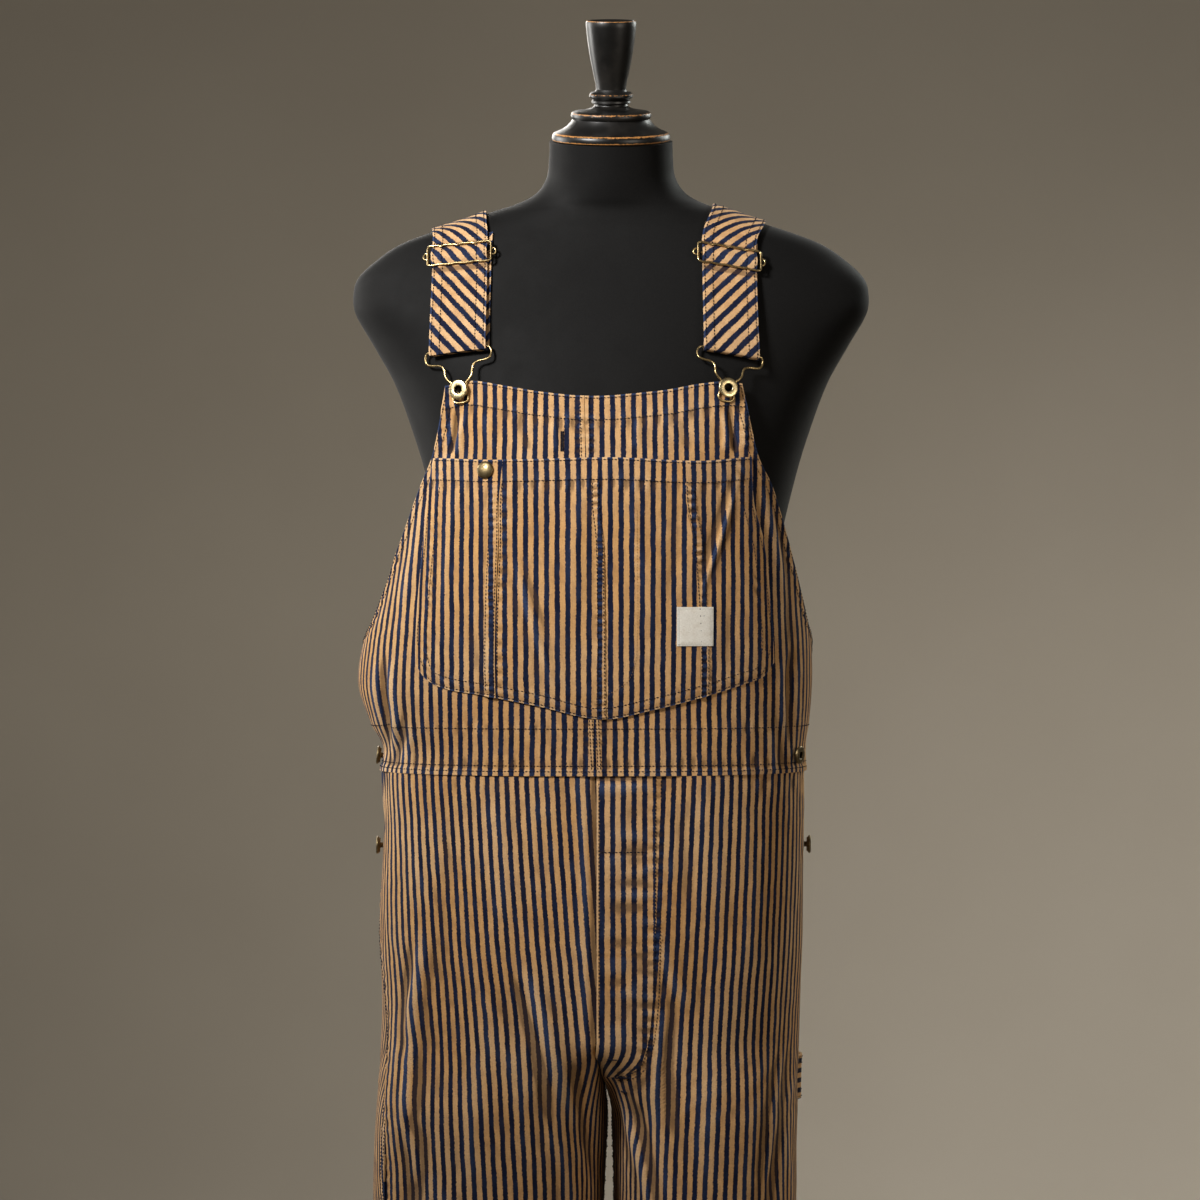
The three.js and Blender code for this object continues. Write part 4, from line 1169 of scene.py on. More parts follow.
def fly_inlay(panel):
    """The fly's stripes run beside its edge; the mask is 0.5 on its curved seam."""
    weave = np.stack([panel.run + STRIPE / 2, panel.z], axis=-1)
    distance, _ = line_distance(panel.x, panel.z, FLY_LINE)
    across, heights = zip(*FLY_LINE[::-1])
    inside = (panel.x < np.interp(panel.z, heights, across)) & (panel.z > heights[0])
    return weave, np.clip(0.5 + np.where(inside, distance, -distance) / 20, 0, 1)


def make_legs():
    panels = {}
    for side in ("right", "left"):
        for face in ("front", "back"):
            rows = FRONT_LEG_ROWS if face == "front" else BACK_LEG_ROWS
            columns = 100 if face == "front" else 76
            panel = even_panel(leg_base(side, face), rows, columns, reverse=face == "back")
            shape_leg(panel, side, face)
            grain = table_at(LEG_GRAIN, rows)[0 if side == "right" else 1]
            edges = open_edges(panel, bottom=True)
            if (side, face) == ("left", "front"):
                fly = np.where(panel.z > FLY_FOOT, panel.run, FAR)
                edges = np.minimum(edges, fly)
            weave = stripe_map(panel, grain, face) * (LEG_EASE, 1)
            inlay = fly_inlay(panel) if (side, face) == ("left", "front") else None
            cloth_piece(f"leg_cloth_{face}_{side}", panel, weave, [f"leg_{face}_{side}"],
                        edges, inlay=inlay)
            panels[f"{face}_{side}"] = panel
    return panels


# ---------- straps ----------
SHOULDER_RISE = 106
BACK_STRAP_FOOT = 1352
FOLD_RADIUS = 2.6
FOLD_LIFT = 4.5
FOLD_RISE = 2.4
STRAP_CLEAR = 2
STRAP_THICK = 1.7
WIRE_SHADE_OFFSET = 11  # from the slider's bar to each band of painted shade beside the wires
# stations over the back and shoulder: face, degrees down from the ridge, extra lift
OVER_SHOULDER = (
    [("back", drop, 0) for drop in (90, 80, 70, 60, 50, 41, 32, 24, 17, 11, 5)]
    + [("front", drop, lift) for drop, lift in
       ((0, 0), (8, 0), (18, 0), (30, 0), (45, 0.2), (62, 0.9), (80, 1.6))]
)
# stations down the chest: rise above the fold, lift from the form, share of the peek
DOWN_CHEST = [
    (101, 3.8, 0), (96, 3.9, 0), (91.5, 5.6, 0), (88.5, 7.4, 0), (86, 7.7, 0), (83.5, 7.1, 0),
    (80, 4.9, 0), (76.5, 3.9, 0), (72, 4.2, 0), (50, 5.6, 0), (25, 6.6, 0), (2.4, 7.1, 0.1),
]
UP_BEHIND = [
    (2.4, 1.9, 0.6), (25, 1.85, 0.8), (50, 1.8, 0.9), (68, 1.75, 1), (83, 1.75, 1),
    (95, 1.75, 1.2), (107, 1.75, 1.4),
]


def strap_end(strap, x):
    return strap["fold"] + strap["slope"] * (x - strap["chest"])


def strap_stations(strap, share):
    """One row of points across the strap for each station of its way."""
    across = (share - 0.5) * strap["width"]
    rows = []
    for face, drop, extra in OVER_SHOULDER:
        turned = 1 - math.cos(math.radians(drop))
        end = strap["root"] if face == "back" else strap["chest"]
        move = float(smooth(0, 1, turned)) if face == "back" else turned
        x = blend(strap["shoulder"], end, move) + across
        ridge = shoulder_height(x) - 0.4
        foot = BACK_STRAP_FOOT if face == "back" else strap_end(strap, x) + SHOULDER_RISE
        height = ridge - (ridge - foot) * turned
        points = form_lifted(x, height, face, STRAP_CLEAR + extra)
        if face == "back":
            ring = table_at(BODY_RINGS, height)
            on_back = body_point(ring_angle(ring, x, "back"), height, PATCH_LIFT + CLOTH / 2)
            points = blend(points, on_back, smooth(1450, 1402, height)[:, None])
        rows.append(points)
    x = strap["chest"] + across
    fold = strap_end(strap, x)
    for rise, lift, peek in DOWN_CHEST:
        moved = x + strap["peek"] * peek
        rows.append(form_lifted(moved, fold + rise, "front", lift))
    for turn, peek in ((45, 0.2), (0, 0.3), (-45, 0.45)):
        lift = FOLD_LIFT + FOLD_RADIUS * math.sin(math.radians(turn))
        drop = FOLD_RISE - FOLD_RADIUS * math.cos(math.radians(turn))
        rows.append(form_lifted(x + strap["peek"] * peek, fold + drop, "front", lift))
    for rise, lift, peek in UP_BEHIND:
        moved = x + strap["peek"] * peek
        rows.append(form_lifted(moved, fold + rise, "front", lift))
    return np.array(rows)


def strap_panel(strap):
    columns = 27
    rows = strap_stations(strap, np.linspace(0, 1, columns))
    fine = rounded(rows, rows[:1], rows[-1:], 12)
    step = np.linalg.norm(np.diff(fine.mean(axis=1), axis=0), axis=1)
    run = np.concatenate([[0], np.cumsum(step)])
    places = np.linspace(0, run[-1], int(run[-1] / 2))
    grid = np.empty((len(places), columns, 3))
    for i in range(columns):
        for axis in range(3):
            grid[:, i, axis] = np.interp(places, run, fine[:, i, axis])
    # the rows are turned round, so that the strap's outer face is the panel's
    across = np.broadcast_to(np.linspace(0, strap["width"], columns), grid.shape[:2]).copy()
    panel = Panel(grid[::-1], across)
    panel.length = np.broadcast_to((run[-1] - places)[::-1, None], across.shape).copy()
    return panel


STRIPE_LEAN = math.radians(51)
STRAP_STITCHES = [2.0, 9.0]  # in from each edge
ROOT_STITCHES = [1356, 1384]  # heights of the rows that hold the straps to the back


def make_straps():
    panels = {}
    for strap in STRAPS:
        panel = strap_panel(strap)
        edge = np.minimum(panel.run, panel.width - panel.run)
        amount = 0.35 * smooth(9.6, 8, edge) - 0.2 * smooth(2.4, 0, edge)
        amount += puckers(edge - 9, panel.length, 8.5, 3.5, 0.16, 3)
        # the roll over the slider's bar; along both wires the strap is darkened as painted shade,
        # its shape unmoved
        rise = panel.points[..., 2] - strap_end(strap, panel.points[..., 0])
        front = panel.flat_normals[..., 1] < 0
        amount += front * 1.3 * bump(rise - SLIDER_RISE, 7)
        panel.push(amount + STRAP_THICK / 2)
        # painted shade: only the relief record is lowered here, so the cloth is darkened and not
        # moved
        for wire_rise in (SLIDER_RISE - WIRE_SHADE_OFFSET, SLIDER_RISE + WIRE_SHADE_OFFSET):
            panel.relief -= front * 1.5 * bump(rise - wire_rise, 2.2)
        panel.find_normals()
        sign = 1 if strap["side"] == "right" else -1
        across = sign * panel.run * math.sin(STRIPE_LEAN)
        across = across + panel.length * math.cos(STRIPE_LEAN)
        along = panel.length * math.sin(STRIPE_LEAN) - sign * panel.run * math.cos(STRIPE_LEAN)
        weave = np.stack([across, along], axis=-1)
        cloth_piece(f"strap_cloth_{strap['side']}", panel, weave, [f"strap_{strap['side']}"],
                    edge, "strap_cotton", STRAP_THICK)
        panels[strap["side"]] = panel
    return panels


# ---------- hammer loop ----------
LOOP = {"low": 797, "high": 838, "from": 0.005, "to": 0.2, "stand": 10}


def make_hammer_loop():
    leg = leg_base("left", "back")

    def base(share, row):
        place = 1 - blend(LOOP["from"], LOOP["to"], share)
        height = blend(LOOP["low"], LOOP["high"], row)
        place, height = np.broadcast_arrays(place, height)
        across = leg(place - 1e-3, height) - leg(place + 1e-3, height)
        up = leg(place, height + 0.5) - leg(place, height - 0.5)
        out = smooth(0.1, 0.35, share) * smooth(0.9, 0.65, share)
        lift = SEAM_GAP + CLOTH + LOOP["stand"] * out + 0 * height
        return leg(place, height) + unit(np.cross(across, up)) * lift[..., None]

    panel = even_panel(base, even_rows((0, 1, 22)), 52)
    edge = open_edges(panel, top=True, bottom=True)
    amount = 0.3 * smooth(7, 5.5, edge) + puckers(edge - 6, panel.run, 8, 3, 0.2, 4)
    panel.push(amount + 0.2 * general_wave(panel, 5, 1))
    panel.find_normals()
    # the band is cut across the cloth, so its stripes run round it
    weave = np.stack([panel.z, panel.run], axis=-1)
    cloth_piece("hammer_loop_cloth", panel, weave, ["hammer_loop"], edge)
    return panel


# ---------- metal: bent wire and turned pieces ----------
def wire_piece(name, points, thick, nodes):
    """A wire along points, rounded between them, made from a bevelled curve."""
    points = np.asarray(points, float)
    before, after = 2 * points[:1] - points[1:2], 2 * points[-1:] - points[-2:-1]
    fine = rounded(points, before, after, 8)
    curve = bpy.data.curves.new(name, "CURVE")
    curve.dimensions = "3D"
    curve.bevel_depth = thick / 2 * MM
    curve.bevel_resolution = 3
    curve.use_fill_caps = True
    spline = curve.splines.new("POLY")
    spline.points.add(len(fine) - 1)
    for target, point in zip(spline.points, fine):
        target.co = (*(point * MM), 1)
    item = add_object(name, curve)
    choose(item)
    bpy.ops.object.convert(target="MESH")
    item = bpy.context.view_layer.objects.active
    smooth_faces(item, 50)
    finish_piece(item, nodes, "antique_brass")


def turned_piece(name, profile, segments, bevel=0.0):
    """A ring of vertices, extruded and resized up the profile, with both ends filled."""
    deselect()
    radius, height = profile[0]
    bpy.ops.mesh.primitive_circle_add(
        vertices=segments, radius=radius * MM, location=(0, 0, height * MM))
    item = bpy.context.view_layer.objects.active
    item.name = name
    bpy.ops.object.mode_set(mode="EDIT")
    bpy.ops.mesh.select_mode(type="EDGE")
    bpy.ops.mesh.select_all(action="SELECT")
    for next_radius, next_height in profile[1:]:
        rise = (next_height - height) * MM
        bpy.ops.mesh.extrude_region_move(TRANSFORM_OT_translate={"value": (0, 0, rise)})
        grow = next_radius / radius
        bpy.ops.transform.resize(
            value=(grow, grow, 1), center_override=(0, 0, next_height * MM))
        radius, height = next_radius, next_height
    bpy.ops.object.mode_set(mode="OBJECT")
    close_ends(item)
    bpy.ops.object.transform_apply(location=True, rotation=True, scale=True)
    if bevel:
        edge = item.modifiers.new("soft edges", "BEVEL")
        edge.width = bevel * MM
        edge.segments = 3
        edge.limit_method = "ANGLE"
        edge.angle_limit = math.radians(28)
        apply_modifiers(item)
    smooth_faces(item, 35)
    return item


def set_on(item, point, normal):
    """Puts a turned piece on a point in millimetres, square to a normal."""
    turn = Vector((0, 0, 1)).rotation_difference(Vector(normal)).to_matrix().to_4x4()
    item.data.transform(Matrix.Translation(Vector(point) * MM) @ turn)
    return item


def turned_offset(across, up, degrees):
    turn = math.radians(degrees)
    return (across * math.cos(turn) - up * math.sin(turn),
            across * math.sin(turn) + up * math.cos(turn))


# half of the hook, from the middle of its top bar: across, up, reach towards the strap
HOOK_HALF = [
    (0.4, 36, 1), (12, 36, 1), (24.6, 36, 1), (27.6, 34.6, 1), (28.6, 31.6, 0.95),
    (28.3, 28.3, 0.85), (26.6, 25.6, 0.76), (22.5, 24.3, 0.72), (17, 23.6, 0.68),
    (13.6, 21.6, 0.6), (12.2, 18, 0.52), (11.6, 13.5, 0.38), (9.4, 9.6, 0.25), (6.4, 6.5, 0.15),
    (5.2, 0, 0), (6.6, -6, 0), (5.8, -9.6, 0), (3, -10.9, 0), (0, -11.1, 0),
]
HOOK_LIFT = 1.75
SLIDER_RISE = 87
SLIDER_HALF = 27.8
SLIDER_TALL = 8.9
SLIDER_CORNER = 2.6
SLIDER_CRIMPS = [-16.5, -2, 13]


def make_hook(strap):
    button_x, button_z = strap["button"]
    slope = math.degrees(math.atan(strap["slope"]))
    bar_up = HOOK_HALF[0][1]

    def place(row, sign):
        across, up, reach = row
        low = turned_offset(sign * across, up, strap["hook_turn"])
        x, z = button_x + low[0], button_z + low[1]
        on_bib = front_point(x, min(z, BIB_TOP), HOOK_LIFT)
        on_bib[2] = z
        sx = strap["chest"] + turned_offset(sign * across, up - bar_up, slope)[0]
        sz = strap_end(strap, sx) + FOLD_RISE + up - bar_up
        on_strap = form_lifted(sx, sz, "front", FOLD_LIFT)
        return blend(on_bib, on_strap, float(smooth(0.1, 1, reach)))

    left = [place(row, 1) for row in HOOK_HALF]
    right = [place(row, -1) for row in HOOK_HALF[:-1]][::-1]
    side = strap["side"]
    wire_piece(f"hook_wire_{side}", left + right, WIRE, [f"hook_{side}"])


def make_slider(strap):
    """The frame is crimped in three places; the bar ends in small loops beside it."""
    slope = math.atan(strap["slope"])
    half, tall, corner = SLIDER_HALF, SLIDER_TALL, SLIDER_CORNER

    def place(across, up, lift=None):
        x = strap["chest"] + across * math.cos(slope)
        height = strap_end(strap, x) + SLIDER_RISE + up
        edge = blend(6.9, 6.5, (up + tall) / (2 * tall))
        return form_lifted(x, height, "front", edge if lift is None else lift)

    def crimped(start, end, up, sign):
        line = []
        for across in np.linspace(start, end, 15):
            dip = sum(bump(across - spot, 1.7) for spot in SLIDER_CRIMPS)
            line.append(place(across, up - sign * 1.1 * dip))
        return line

    side = strap["side"]
    frame_points = (
        crimped(0.4, half - corner, tall, 1)
        + [place(half - 0.7, tall - 0.7), place(half, tall - corner), place(half, 0)]
        + [place(half, corner - tall), place(half - 0.7, 0.7 - tall)]
        + crimped(half - corner, corner - half, -tall, -1)
        + [place(0.7 - half, 0.7 - tall), place(-half, corner - tall), place(-half, 0)]
        + [place(-half, tall - corner), place(0.7 - half, tall - 0.7)]
        + crimped(corner - half, -0.4, tall, 1)
    )
    wire_piece(f"slider_wire_{side}", frame_points, WIRE, [f"slider_{side}"])
    reach = half - corner
    bar = [place(across, 0.3, 4.5) for across in (-reach, 0, reach)]
    wire_piece(f"slider_bar_wire_{side}", bar, WIRE, [f"slider_bar_{side}"])
    for sign in (-1, 1):
        loop = []
        for turn in np.linspace(-150, 150, 9):
            across = sign * (half + 1.4 + 2.6 * math.cos(math.radians(turn)))
            loop.append(place(across, 2.9 * math.sin(math.radians(turn)), 5.4))
        ear = "right" if sign < 0 else "left"
        wire_piece(f"slider_ear_{side}_{ear}", loop, WIRE * 0.85, [])


BIB_BUTTON_RADIUS = 8.75
SIDE_BUTTON_RADIUS = 8
STUD_RADIUS = 7.6
STUD_PLACE = (-108, 1365)


def donut_profile(radius):
    """A two-part tack button: shank, lower cup, rolled front rim and a deep middle."""
    return [
        (2.4, 0), (2.4, 2.3), (radius - 1.9, 2.4), (radius - 1.3, 3), (radius - 1.3, 3.7),
        (radius - 0.4, 3.8), (radius, 4.4), (radius, 5.3), (radius - 0.4, 5.9),
        (radius * 0.88, 6.15), (radius * 0.66, 6.2), (radius * 0.46, 6.15), (radius * 0.4, 5.8),
        (radius * 0.37, 5.2), (radius * 0.36, 3.6), (radius * 0.12, 3.5),
    ]


def dome_profile(radius):
    return [
        (2.2, 0), (2.2, 1.1), (radius - 0.5, 1.2), (radius, 1.8), (radius - 0.05, 2.3),
        (radius * 0.93, 2.9), (radius * 0.78, 3.5), (radius * 0.55, 4.05), (radius * 0.3, 4.4),
        (radius * 0.08, 4.5),
    ]


def darken_hole(item, radius):
    """Marks the inside of a button's hole, which light hardly reaches, for painted shade."""
    places = np.array([vertex.co for vertex in item.data.vertices]) / MM
    across = np.hypot(places[:, 0], places[:, 1])
    set_attribute(item.data, "wear_and_shade", smooth(radius * 0.44, radius * 0.36, across)
                  * smooth(3, 3.4, places[:, 2]))


def square_on(surface, place, height, step=1.0):
    """A point on a surface of (place, height), and the surface's normal there."""
    across = surface(place + step, height) - surface(place - step, height)
    up = surface(place, height + 1) - surface(place, height - 1)
    normal = unit(np.cross(across, up))
    return surface(place, height) + normal * SEAM_GAP, normal


def on_pocket(x, height):
    return front_point(x, height, POCKET_LIFT)


def on_side(degrees, height):
    return body_point(degrees, height, SEAM_GAP)


# node, surface, place on it, height, step of that place
SIDE_BUTTONS = [
    ("side_button_right_upper", on_side, -178, 1113, 1),
    ("side_button_left_upper", on_side, -22, 1116, 1),
    ("side_button_right_lower", leg_base("right", "front"), 0.06, 1033, 1 / 300),
    ("side_button_left_lower", leg_base("left", "front"), 0.93, 1034, 1 / 300),
]


def donut_button(name, radius, segments, seat, node, material):
    item = turned_piece(name, donut_profile(radius), segments, 0.15)
    darken_hole(item, radius)
    set_on(item, *seat)
    finish_piece(item, [node], material)


def make_buttons():
    for strap in STRAPS:
        side = strap["side"]
        seat = square_on(front_point, *strap["button"])
        donut_button(f"bib_button_brass_{side}", BIB_BUTTON_RADIUS, 40, seat,
                     f"bib_button_{side}", "pale_brass")
    stud = turned_piece("pocket_stud", dome_profile(STUD_RADIUS), 40)
    set_on(stud, *square_on(on_pocket, *STUD_PLACE))
    finish_piece(stud, ["pocket_button"], "aged_brass")
    for node, surface, place, height, step in SIDE_BUTTONS:
        seat = square_on(surface, place, height, step)
        donut_button(node + "_brass", SIDE_BUTTON_RADIUS, 36, seat, node, "aged_brass")


# ---------- dress form and stand ----------
def make_form():
    heights = np.concatenate([
        np.linspace(868, 895, 12)[:-1], np.linspace(895, 1446, 56)[:-1],
        np.linspace(1446, 1590, 60)[:-1], np.linspace(1590, 1663, 42),
    ])
    turns = np.linspace(0, 360, 144, endpoint=False)
    points = form_ring_point(heights[:, None], turns[None, :])
    mesh = grid_mesh("form_cover", points, closed=True)
    item = add_object("form_cover", mesh)
    close_ends(item)
    smooth_faces(item, 40)
    finish_piece(item, ["form_torso"], "form_cover")


CAP_PROFILE = [
    (51, 0), (52.6, 1.2), (53, 3), (52.6, 5), (52.2, 6.2), (51.2, 7.4), (49, 8.4), (45, 9.9),
    (40, 13), (36.2, 17), (34.6, 19.6), (35.6, 20.8), (36, 23), (35.4, 25.2), (33, 26.6),
    (25, 27.6), (18, 29.4), (15, 31.4), (14.6, 33),
]
FINIAL_PROFILE = [
    (16.4, 33.3), (17.4, 34.4), (17.2, 36), (16, 36.8), (18, 37.8), (19.4, 39.6), (19.4, 41.6),
    (17.8, 43.4), (14.6, 44.2), (13.4, 46), (13.8, 50), (15.2, 57), (17.4, 67), (19.6, 79),
    (21.4, 92), (22.3, 101), (22.5, 105), (21.9, 106.4), (20.6, 106.6), (19.6, 105.8),
    (8, 104.8), (1, 104.6),
]


def worn_rims(item, rims, reach):
    """Marks the paint that is rubbed off near rims of a turned piece, given as (radius, height)."""
    places = np.array([vertex.co for vertex in item.data.vertices]) / MM
    radius = np.hypot(places[:, 0], places[:, 1])
    wear_and_shade = np.zeros(len(places))
    for rim_radius, rim_height in rims:
        away = np.hypot(radius - rim_radius, places[:, 2] - rim_height)
        wear_and_shade = np.maximum(wear_and_shade, smooth(reach, 0, away))
    set_attribute(item.data, "wear_and_shade", wear_and_shade)


def make_neck():
    tilt = Matrix.Rotation(math.radians(NECK_TILT), 4, "X")
    seat = Vector((0, NECK_TOP[4], NECK_TOP[0])) + tilt @ Vector((0, 0, SEAM_GAP))
    place = Matrix.Translation(seat * MM) @ tilt
    cap = turned_piece("neck_cap_wood", CAP_PROFILE, 128)
    worn_rims(cap, [(51.6, 7.2), (52.6, 1.2), (35.8, 24.6)], 2.6)
    finial = turned_piece("finial_wood", FINIAL_PROFILE, 96)
    worn_rims(finial, [(22, 106.4), (19.4, 41)], 1.8)
    for item, node in ((cap, "neck_cap"), (finial, "neck_finial")):
        item.data.transform(place)
        finish_piece(item, [node], "painted_wood")


def make_stand():
    underside = FORM_RINGS[0][0] - SEAM_GAP
    foot = BASE_THICKNESS + SEAM_GAP
    socket = turned_piece("stand_socket_steel", [
        (20, 0), (20, 24), (38, 27), (40, 28), (40, 34)], 64, 0.5)
    socket.data.transform(Matrix.Translation((POLE_X * MM, 0, (underside - 34) * MM)))
    finish_piece(socket, ["stand_socket"], "painted_steel")
    top = underside - 34 - SEAM_GAP - foot
    pole = turned_piece("stand_pole_steel", [
        (30, 0), (30, 6), (18, 10), (POLE_RADIUS, 14), (POLE_RADIUS, top)], 48, 0.5)
    pole.data.transform(Matrix.Translation((POLE_X * MM, 0, foot * MM)))
    finish_piece(pole, ["stand_pole"], "painted_steel")
    base = turned_piece("stand_base_steel", [
        (BASE_RADIUS - 2, 0), (BASE_RADIUS, 2), (BASE_RADIUS, BASE_THICKNESS - 3),
        (BASE_RADIUS - 3, BASE_THICKNESS)], 128, 0.8)
    finish_piece(base, ["stand_base"], "painted_steel")


# ---------- all the stitching ----------
def parallel(line, aside):
    """The same line moved sideways along the cloth."""
    points, normals = line
    along = unit(np.gradient(points, axis=0))
    return points + np.cross(normals, along) * aside, normals


def pocket_outline(inset):
    """Across and up, round the pocket's sides and lower edge, a given way inside it."""
    corners = []
    for z in (1352, 1330, 1300, 1270, 1240, 1215):
        corners.append((float(table_at(POCKET_SIDES, z)[0]) + inset, z))
    for share in (0.035, 0.09, 0.18, 0.34, 0.515, 0.66, 0.8, 0.92, 0.965):
        low = float(table_at(POCKET_LOWER_EDGE, share))
        right, left = table_at(POCKET_SIDES, low)
        middle = (right + left) / 2
        x = blend(right, left, share)
        corners.append((x - inset * 0.35 * np.sign(x - middle), low + inset))
    for z in (1215, 1240, 1270, 1300, 1330, 1352):
        corners.append((float(table_at(POCKET_SIDES, z)[1]) - inset, z))
    return corners


def stitch_upper(upper):
    bib_lines, back_lines = [], []
    for side in ("right", "left"):
        bib, back = upper["bib_" + side], upper["back_" + side]
        left = side == "left"
        bib_lines += [bib.row_line(2.0), bib.row_line(TOP_HEM)]
        bib_lines += [bib.level_line(level) for level in (FACING_LINE, *WAIST_STITCHES)]
        bib_lines += [
            bib.edge_line(RIM_STITCH, left, ARMHOLE - 30, BIB_TOP - 5),
            bib.edge_line(RIM_STITCH_INNER, left, ARMHOLE, BIB_TOP - TOP_HEM),
            bib.edge_line(1.2, not left, WAIST + 4, 1164),
            bib.edge_line(SEAM_HALF - 0.6, not left, WAIST + 4, 1164),
            bib.edge_line(SEAM_HALF - 0.6, not left, 1368, 1434),
        ]
        back_lines += [back.row_line(RIM_STITCH), back.row_line(20)]
        back_lines += [back.level_line(level) for level in WAIST_STITCHES]
        back_lines += [back.edge_line(inset, left) for inset in (1.2, SEAM_HALF - 0.6)]
        back_lines += [
            back.edge_line(RIM_STITCH, not left, ARMHOLE - 30, BACK_TOP),
            back.edge_line(RIM_STITCH_INNER, not left, ARMHOLE, BACK_TOP),
        ]
    stitching("stitches_bib", bib_lines)
    stitching("stitches_back", back_lines)


# part of the pocket, whether the seam is its last edge, insets, lowest stitch
POCKET_RIBS = [
    ("pencil", True, (1.2, 8.8), 1180),
    ("right", True, (0.9, 6.2), 1158),
    ("end", False, (1.0, 7.4), 1176),
    ("right", False, (1.6,), 1172),
]


def stitch_pocket(pocket):
    cloth = surface_tree(*pocket.values())
    lines = [laid_line(cloth, pocket_outline(inset)) for inset in (1.6, 9.3)]
    for panel in pocket.values():
        lines += [panel.row_line(2.0), panel.row_line(POCKET_HEM)]
    for name, at_last, insets, low in POCKET_RIBS:
        for inset in insets:
            lines.append(pocket[name].edge_line(inset, at_last, low, 1374 - POCKET_HEM))
    stitching("stitches_pocket", lines)
    stitching("stitches_inner_pocket", [laid_line(cloth, INNER_POCKET)],
              "tan_thread", pitch=2.6, long=1.5, half=0.3)


def stitch_label(label):
    lines = [label.edge_line(1.5, at_last) for at_last in (False, True)]
    lines += [label.row_line(1.5), label.level_line(LABEL["low"] + 1.5)]
    stitching("stitches_label", lines, "pale_thread", pitch=1.9, long=1.3, half=0.26)


def stitch_legs(legs):
    lines = []
    for side in ("right", "left"):
        front, back = legs["front_" + side], legs["back_" + side]
        left = side == "left"
        lines += [back.edge_line(inset, not left, 52, 1040) for inset in (2, 8)]
        lines += [
            back.edge_line(1.4, left, 52, WAIST - 2),
            back.edge_line(SEAM_HALF - 0.4, left, CROTCH_START, WAIST - 2),
            front.level_line(HEM_STITCH),
            back.level_line(HEM_STITCH),
            front.edge_line(2, not left, 52, CROTCH_END),
        ]
    lines.append(legs["front_left"].edge_line(2, False, CROTCH_START, WAIST - 4))
    cloth = surface_tree(legs["front_left"])
    fly = laid_line(cloth, FLY_LINE)
    lines += [fly, parallel(fly, 4.6)]
    lines.append(laid_line(cloth, [(-11, TACKS[0]), (32.5, TACKS[0])]))
    stitching("stitches_legs", lines)


# across and height of both ends of each close-set bar of thread
FLY_TACKS = [
    [(-4, 856), (5, 855.5)],
    [(3, 837.6), (15, 839)],
    [(8, 825), (14, 824)],
]
BUTTONHOLE = [[(-43.6, 1381), (-43.4, 1399)], [(-42, 1381), (-41.8, 1399)]]


def stitch_tacks(leg, bib):
    lines = []
    for panel, bars in ((leg, FLY_TACKS), (bib, BUTTONHOLE)):
        cloth = surface_tree(panel)
        lines += [laid_line(cloth, bar, step=1) for bar in bars]
    stitching("stitches_tacks", lines, pitch=0.9, long=1.6, half=0.9, lift=0.5)


def stitch_straps(straps):
    lines = []
    for panel in straps.values():
        lines += [panel.edge_line(inset, at_last)
                  for at_last in (False, True) for inset in STRAP_STITCHES]
        for level in ROOT_STITCHES:
            rows = [j for j in range(len(panel.points)) if panel.points[j, :, 1].mean() > 40
                    and abs(panel.height[j].mean() - level) < 1.2]
            lines.append((panel.points[rows[0]], panel.normals[rows[0]]))
    stitching("stitches_straps", lines)


def stitch_loop(loop):
    low, high = LOOP["low"], LOOP["high"]
    lines = [loop.level_line(level) for level in (low + 2, low + 8, high - 8, high - 2)]
    stitching("stitches_loop", lines)


# ---------- shading ----------
def new_group(name, inputs, outputs):
    """An empty shader node group with named, typed sockets."""
    group = bpy.data.node_groups.new(name, "ShaderNodeTree")
    for label, kind, value in inputs:
        socket = group.interface.new_socket(label, in_out="INPUT", socket_type=kind)
        if value is not None:
            socket.default_value = value
    for label, kind in outputs:
        group.interface.new_socket(label, in_out="OUTPUT", socket_type=kind)
    return group


